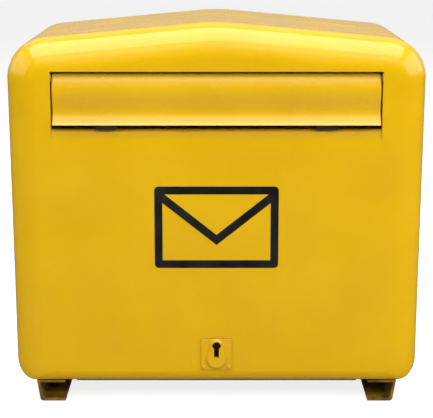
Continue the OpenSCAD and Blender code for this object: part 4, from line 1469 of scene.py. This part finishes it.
@dataclass(frozen=True)
class FloorDoor:
    """The sprung door in the floor, its hinge and the keeper that the bolt enters.

    Attributes:
        wire_r: Radius of the spring wire.
        coil_r: Outer radius of the springs.
        spring_l: Length of a spring.
        turns: Turns of a spring.
    """

    wire_r: float = 0.9 * MM
    coil_r: float = 5.2 * MM
    spring_l: float = 26 * MM
    turns: int = 12

    def build(self) -> None:
        """Makes the springs and trims the rest."""
        self.springs()
        build_trimmed((
            Trimmed("floor_door", ALUMINIUM, 0.8 * MM, Body.DOOR),
            Trimmed("door_keeper", PLATED, 0.4 * MM, Body.DOOR),
            Trimmed("keeper_screws", PLATED, 0.3 * MM, Body.DOOR),
            Trimmed("hinge_leaf", ZINC, 0.5 * MM),
            Trimmed("hinge_pin", PLATED, 0.5 * MM),
            Trimmed("hinge_screws", PLATED, 0.3 * MM),
            Trimmed("floor_frame", ZINC, 0.5 * MM),
        ))

    def wire_path(self, start_x: float, axis: Point) -> list[Vector]:
        """The middle of one spring's wire, from the door's leg through the coil to the floor's leg."""
        mean = self.coil_r - self.wire_r
        y, z = axis
        run = self.spring_l - 2 * self.wire_r
        begin = start_x + self.wire_r
        path = [Vector((begin, y - 30 * MM * (1 - step / 8), z - mean)) for step in range(8)]
        steps = self.turns * 20
        for step in range(steps + 1):
            turn = math.radians(-90 + 18 * step)
            x = begin + run * step / steps
            path.append(Vector((x, y + mean * math.cos(turn), z + mean * math.sin(turn))))
        path += [Vector((begin + run, y + 18 * MM * (step + 1) / 6, z - mean)) for step in range(6)]
        return path

    def springs(self) -> None:
        """Winds both springs on the hinge pin."""
        high = extent("door_springs")[1]
        pin_low, pin_high = extent("hinge_pin")
        axis = ((pin_low.y + pin_high.y) / 2, (pin_low.z + pin_high.z) / 2)
        parts = []
        for side in (1, -1):
            path = self.wire_path(high.x - self.spring_l, axis)
            path = [Vector((side * p.x, p.y, p.z)) for p in path]
            parts.append(loft("spring", wire_rings(path, self.wire_r, 10)))
        piece = join(parts)
        piece.name = piece.data.name = "wound_springs"
        smooth(piece, 50)
        hand_over(piece, Body.HOUSING, [SPRING_STEEL], ["door_springs"])


def wire_rings(path: Sequence[Vector], radius: float, sides: int) -> list[Ring]:
    """Rings round a path, which don't twist from one to the next.

    Args:
        path: The middle of the wire.
        radius: The wire's radius.
        sides: Corners of each ring.

    Returns:
        The rings.
    """
    rings = []
    across = Vector((0.0, 0.0, 1.0))
    for index, place in enumerate(path):
        way = (path[min(index + 1, len(path) - 1)] - path[max(index - 1, 0)]).normalized()
        across = (across - way * across.dot(way)).normalized()
        third = way.cross(across)
        rings.append([
            place + radius * (across * math.cos(turn) + third * math.sin(turn))
            for turn in (2 * math.pi * side / sides for side in range(sides))
        ])
    return rings


# ---------------------------------------------------------------- inner fittings and back


class InnerFittings:
    """What lies behind the slot and behind the keyhole."""

    def build(self) -> None:
        """Trims the brackets, the chute, the baffle, the buffers and the lock."""
        build_trimmed((
            Trimmed("bracket_left", ZINC, 0.4 * MM),
            Trimmed("bracket_right", ZINC, 0.4 * MM),
            Trimmed("bracket_nuts", PLATED, 0.3 * MM),
            Trimmed("flap_buffers", RUBBER, 1.2 * MM),
            Trimmed("letter_chute", ZINC, 0.4 * MM),
            Trimmed("slot_baffle", ZINC, 0.4 * MM),
            Trimmed("baffle_screws", PLATED, 0.4 * MM),
            Trimmed("lock_case", LOCK_STEEL, 0.4 * MM),
            Trimmed("lock_cover", LOCK_STEEL, 0.4 * MM),
            Trimmed("lock_barrel", BRASS, 0.3 * MM, Body.BARREL),
            Trimmed("lock_bolt", BRASS, 0.4 * MM, Body.BOLT),
            Trimmed("detent_spring", SPRING_STEEL, 0.15 * MM),
            Trimmed("key_guide", LOCK_STEEL, 0.4 * MM),
            Trimmed("lock_screws", PLATED, 0.4 * MM),
            Trimmed("cover_screws", PLATED, 0.2 * MM),
        ))


class Back:
    """The back plate that closes the housing, with its seal, stiffeners and screws."""

    def build(self) -> None:
        """Trims the seal, the plate, the stiffeners, the screws and the nuts."""
        build_trimmed((
            Trimmed("rear_seal", RUBBER, 0.4 * MM),
            Trimmed("back_plate", ZINC, 0.5 * MM),
            Trimmed("back_stiffeners", ZINC, 0.6 * MM),
            Trimmed("back_screws", PLATED, 0.3 * MM),
            Trimmed("back_nuts", PLATED, 0.3 * MM),
        ))


class Emblem:
    """The envelope sign of cut film on the front panel."""

    def build(self) -> None:
        """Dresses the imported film, whose shape is already right."""
        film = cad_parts["front_emblem"]
        film.data.materials.clear()
        film.data.materials.append(BLACK_FILM.material())
        LOG.info("front_emblem: packed film, dressed")


# ---------------------------------------------------------------- studio


@dataclass(frozen=True)
class Lamp:
    """A flat soft light that faces the letter box.

    Attributes:
        name: Its name.
        turn: Its direction from the front towards the right, in degrees.
        rise: Its height above the horizon, in degrees.
        far: Its distance.
        size: Its width and height.
        radiance: How bright its surface is.
        glossy: True if it shows in reflections.
    """

    name: str
    turn: float
    rise: float
    far: float
    size: Point
    radiance: float
    glossy: bool = True

    def build(self, aim: Vector) -> None:
        """Hangs the lamp round a point and turns it to that point."""
        turn, rise = math.radians(self.turn), math.radians(self.rise)
        way = Vector((math.sin(turn) * math.cos(rise), -math.cos(turn) * math.cos(rise), math.sin(rise)))
        data = bpy.data.lights.new(self.name, "AREA")
        data.shape = "RECTANGLE"
        data.size, data.size_y = self.size
        data.energy = self.radiance * math.pi * self.size[0] * self.size[1]
        lamp = bpy.data.objects.new(self.name, data)
        lamp.location = aim + way * self.far
        lamp.rotation_euler = (-way).to_track_quat("-Z", "Y").to_euler()
        lamp.visible_glossy = self.glossy
        lamp.visible_camera = False
        bpy.context.scene.collection.objects.link(lamp)


@dataclass(frozen=True)
class Studio:
    """Camera, floor and lights.

    Attributes:
        lens: Focal length of the camera, in its own millimetres.
        place: Where the camera stands.
        tilt: How far the camera looks down, in degrees.
        aim: The point that the lamps face.
        lamps: The lamps.
    """

    lens: float = 110.6
    place: Colour = (0.0, -1.940, 0.689)
    tilt: float = 12.64
    aim: Colour = (0.0, -0.14, 0.45)
    lamps: tuple[Lamp, ...] = (
        Lamp("overhead", 0.0, 86.0, 2.1, (3.6, 2.3), 3.15),
        Lamp("upper_card", 0.0, 45.0, 2.3, (3.0, 0.7), 1.3),
        Lamp("left_card", -88.0, 21.0, 2.8, (3.8, 1.7), 1.0),
        Lamp("right_card", 88.0, 21.0, 2.8, (3.8, 1.7), 1.7),
        Lamp("rear_card", 180.0, 38.0, 3.0, (4.0, 1.6), 0.55),
        Lamp("back_card", 180.0, 7.0, 12.0, (30.0, 4.4), 0.28),
        Lamp("front_fill", 0.0, 28.0, 3.3, (2.4, 0.9), 3.1, False),
        Lamp("right_fill", 50.0, 26.0, 3.3, (1.8, 1.1), 4.6, False),
        Lamp("left_fill", -50.0, 26.0, 3.3, (1.8, 1.1), 2.1, False),
    )

    def build(self) -> None:
        """Sets up the camera, the floor, the surround and the lamps."""
        data = bpy.data.cameras.new("camera")
        data.lens = self.lens
        data.sensor_width = 36.0
        data.clip_start, data.clip_end = 0.05, 100.0
        camera = bpy.data.objects.new("camera", data)
        camera.location = self.place
        camera.rotation_euler = (math.radians(90 - self.tilt), 0.0, 0.0)
        bpy.context.scene.collection.objects.link(camera)
        bpy.context.scene.camera = camera
        bpy.context.scene.view_settings.view_transform = "Standard"
        self.floor()
        self.surround()
        for lamp in self.lamps:
            lamp.build(Vector(self.aim))

    def floor(self) -> None:
        """A plain pale floor, which doesn't show in the gloss and is clear from below."""
        bpy.ops.object.select_all(action="DESELECT")
        bpy.ops.mesh.primitive_plane_add(size=60.0, location=(0.0, 0.0, -0.0006))
        plane = bpy.context.object
        plane.name = "studio_floor"
        made = bpy.data.materials.new("studio_floor")
        made.use_nodes = True
        recipe = Recipe(made.node_tree)
        plain = {"Base Color": (0.5, 0.5, 0.5, 1.0), "Roughness": 0.9}
        shader = recipe.add("ShaderNodeBsdfPrincipled", plain)
        shader.inputs["Specular IOR Level"].default_value = 0.1
        shader.inputs["Emission Color"].default_value = (1.0, 1.0, 1.0, 1.0)
        seen = recipe.add("ShaderNodeLightPath").outputs["Is Camera Ray"]
        recipe.feed(shader.inputs["Emission Strength"], recipe.fade(seen, 0.0, 1.0, 0.0, 0.8))
        clear = recipe.add("ShaderNodeBsdfTransparent").outputs[0]
        below = recipe.add("ShaderNodeNewGeometry").outputs["Backfacing"]
        face = recipe.add("ShaderNodeMixShader", {0: below, 1: shader.outputs[0], 2: clear})
        recipe.add("ShaderNodeOutputMaterial", {"Surface": face.outputs[0]})
        plane.data.materials.append(made)
        plane.visible_glossy = False

    def surround(self) -> None:
        """An even surround, which is pale to look at and gives little light."""
        world = bpy.data.worlds.new("surround")
        world.use_nodes = True
        recipe = Recipe(world.node_tree)
        seen = recipe.add("ShaderNodeLightPath").outputs["Is Camera Ray"]
        strength = recipe.fade(seen, 0.0, 1.0, 0.08, 0.86)
        background = recipe.add("ShaderNodeBackground", {"Strength": strength})
        background.inputs["Color"].default_value = (1.0, 1.0, 1.0, 1.0)
        recipe.add("ShaderNodeOutputWorld", {"Surface": background.outputs[0]})
        bpy.context.scene.world = world


def main() -> None:
    """Builds the studio and every sub-assembly."""
    logging.basicConfig(level=logging.INFO, format="%(name)s %(message)s")
    assemblies = (
        Studio(),
        Housing(),
        Emblem(),
        KeyPlate(),
        LetterFlap(),
        InnerFittings(),
        Rails(),
        FloorDoor(),
        Back(),
    )
    for assembly in assemblies:
        LOG.info("building %s", type(assembly).__name__)
        assembly.build()


if __name__ == "__main__":
    main()
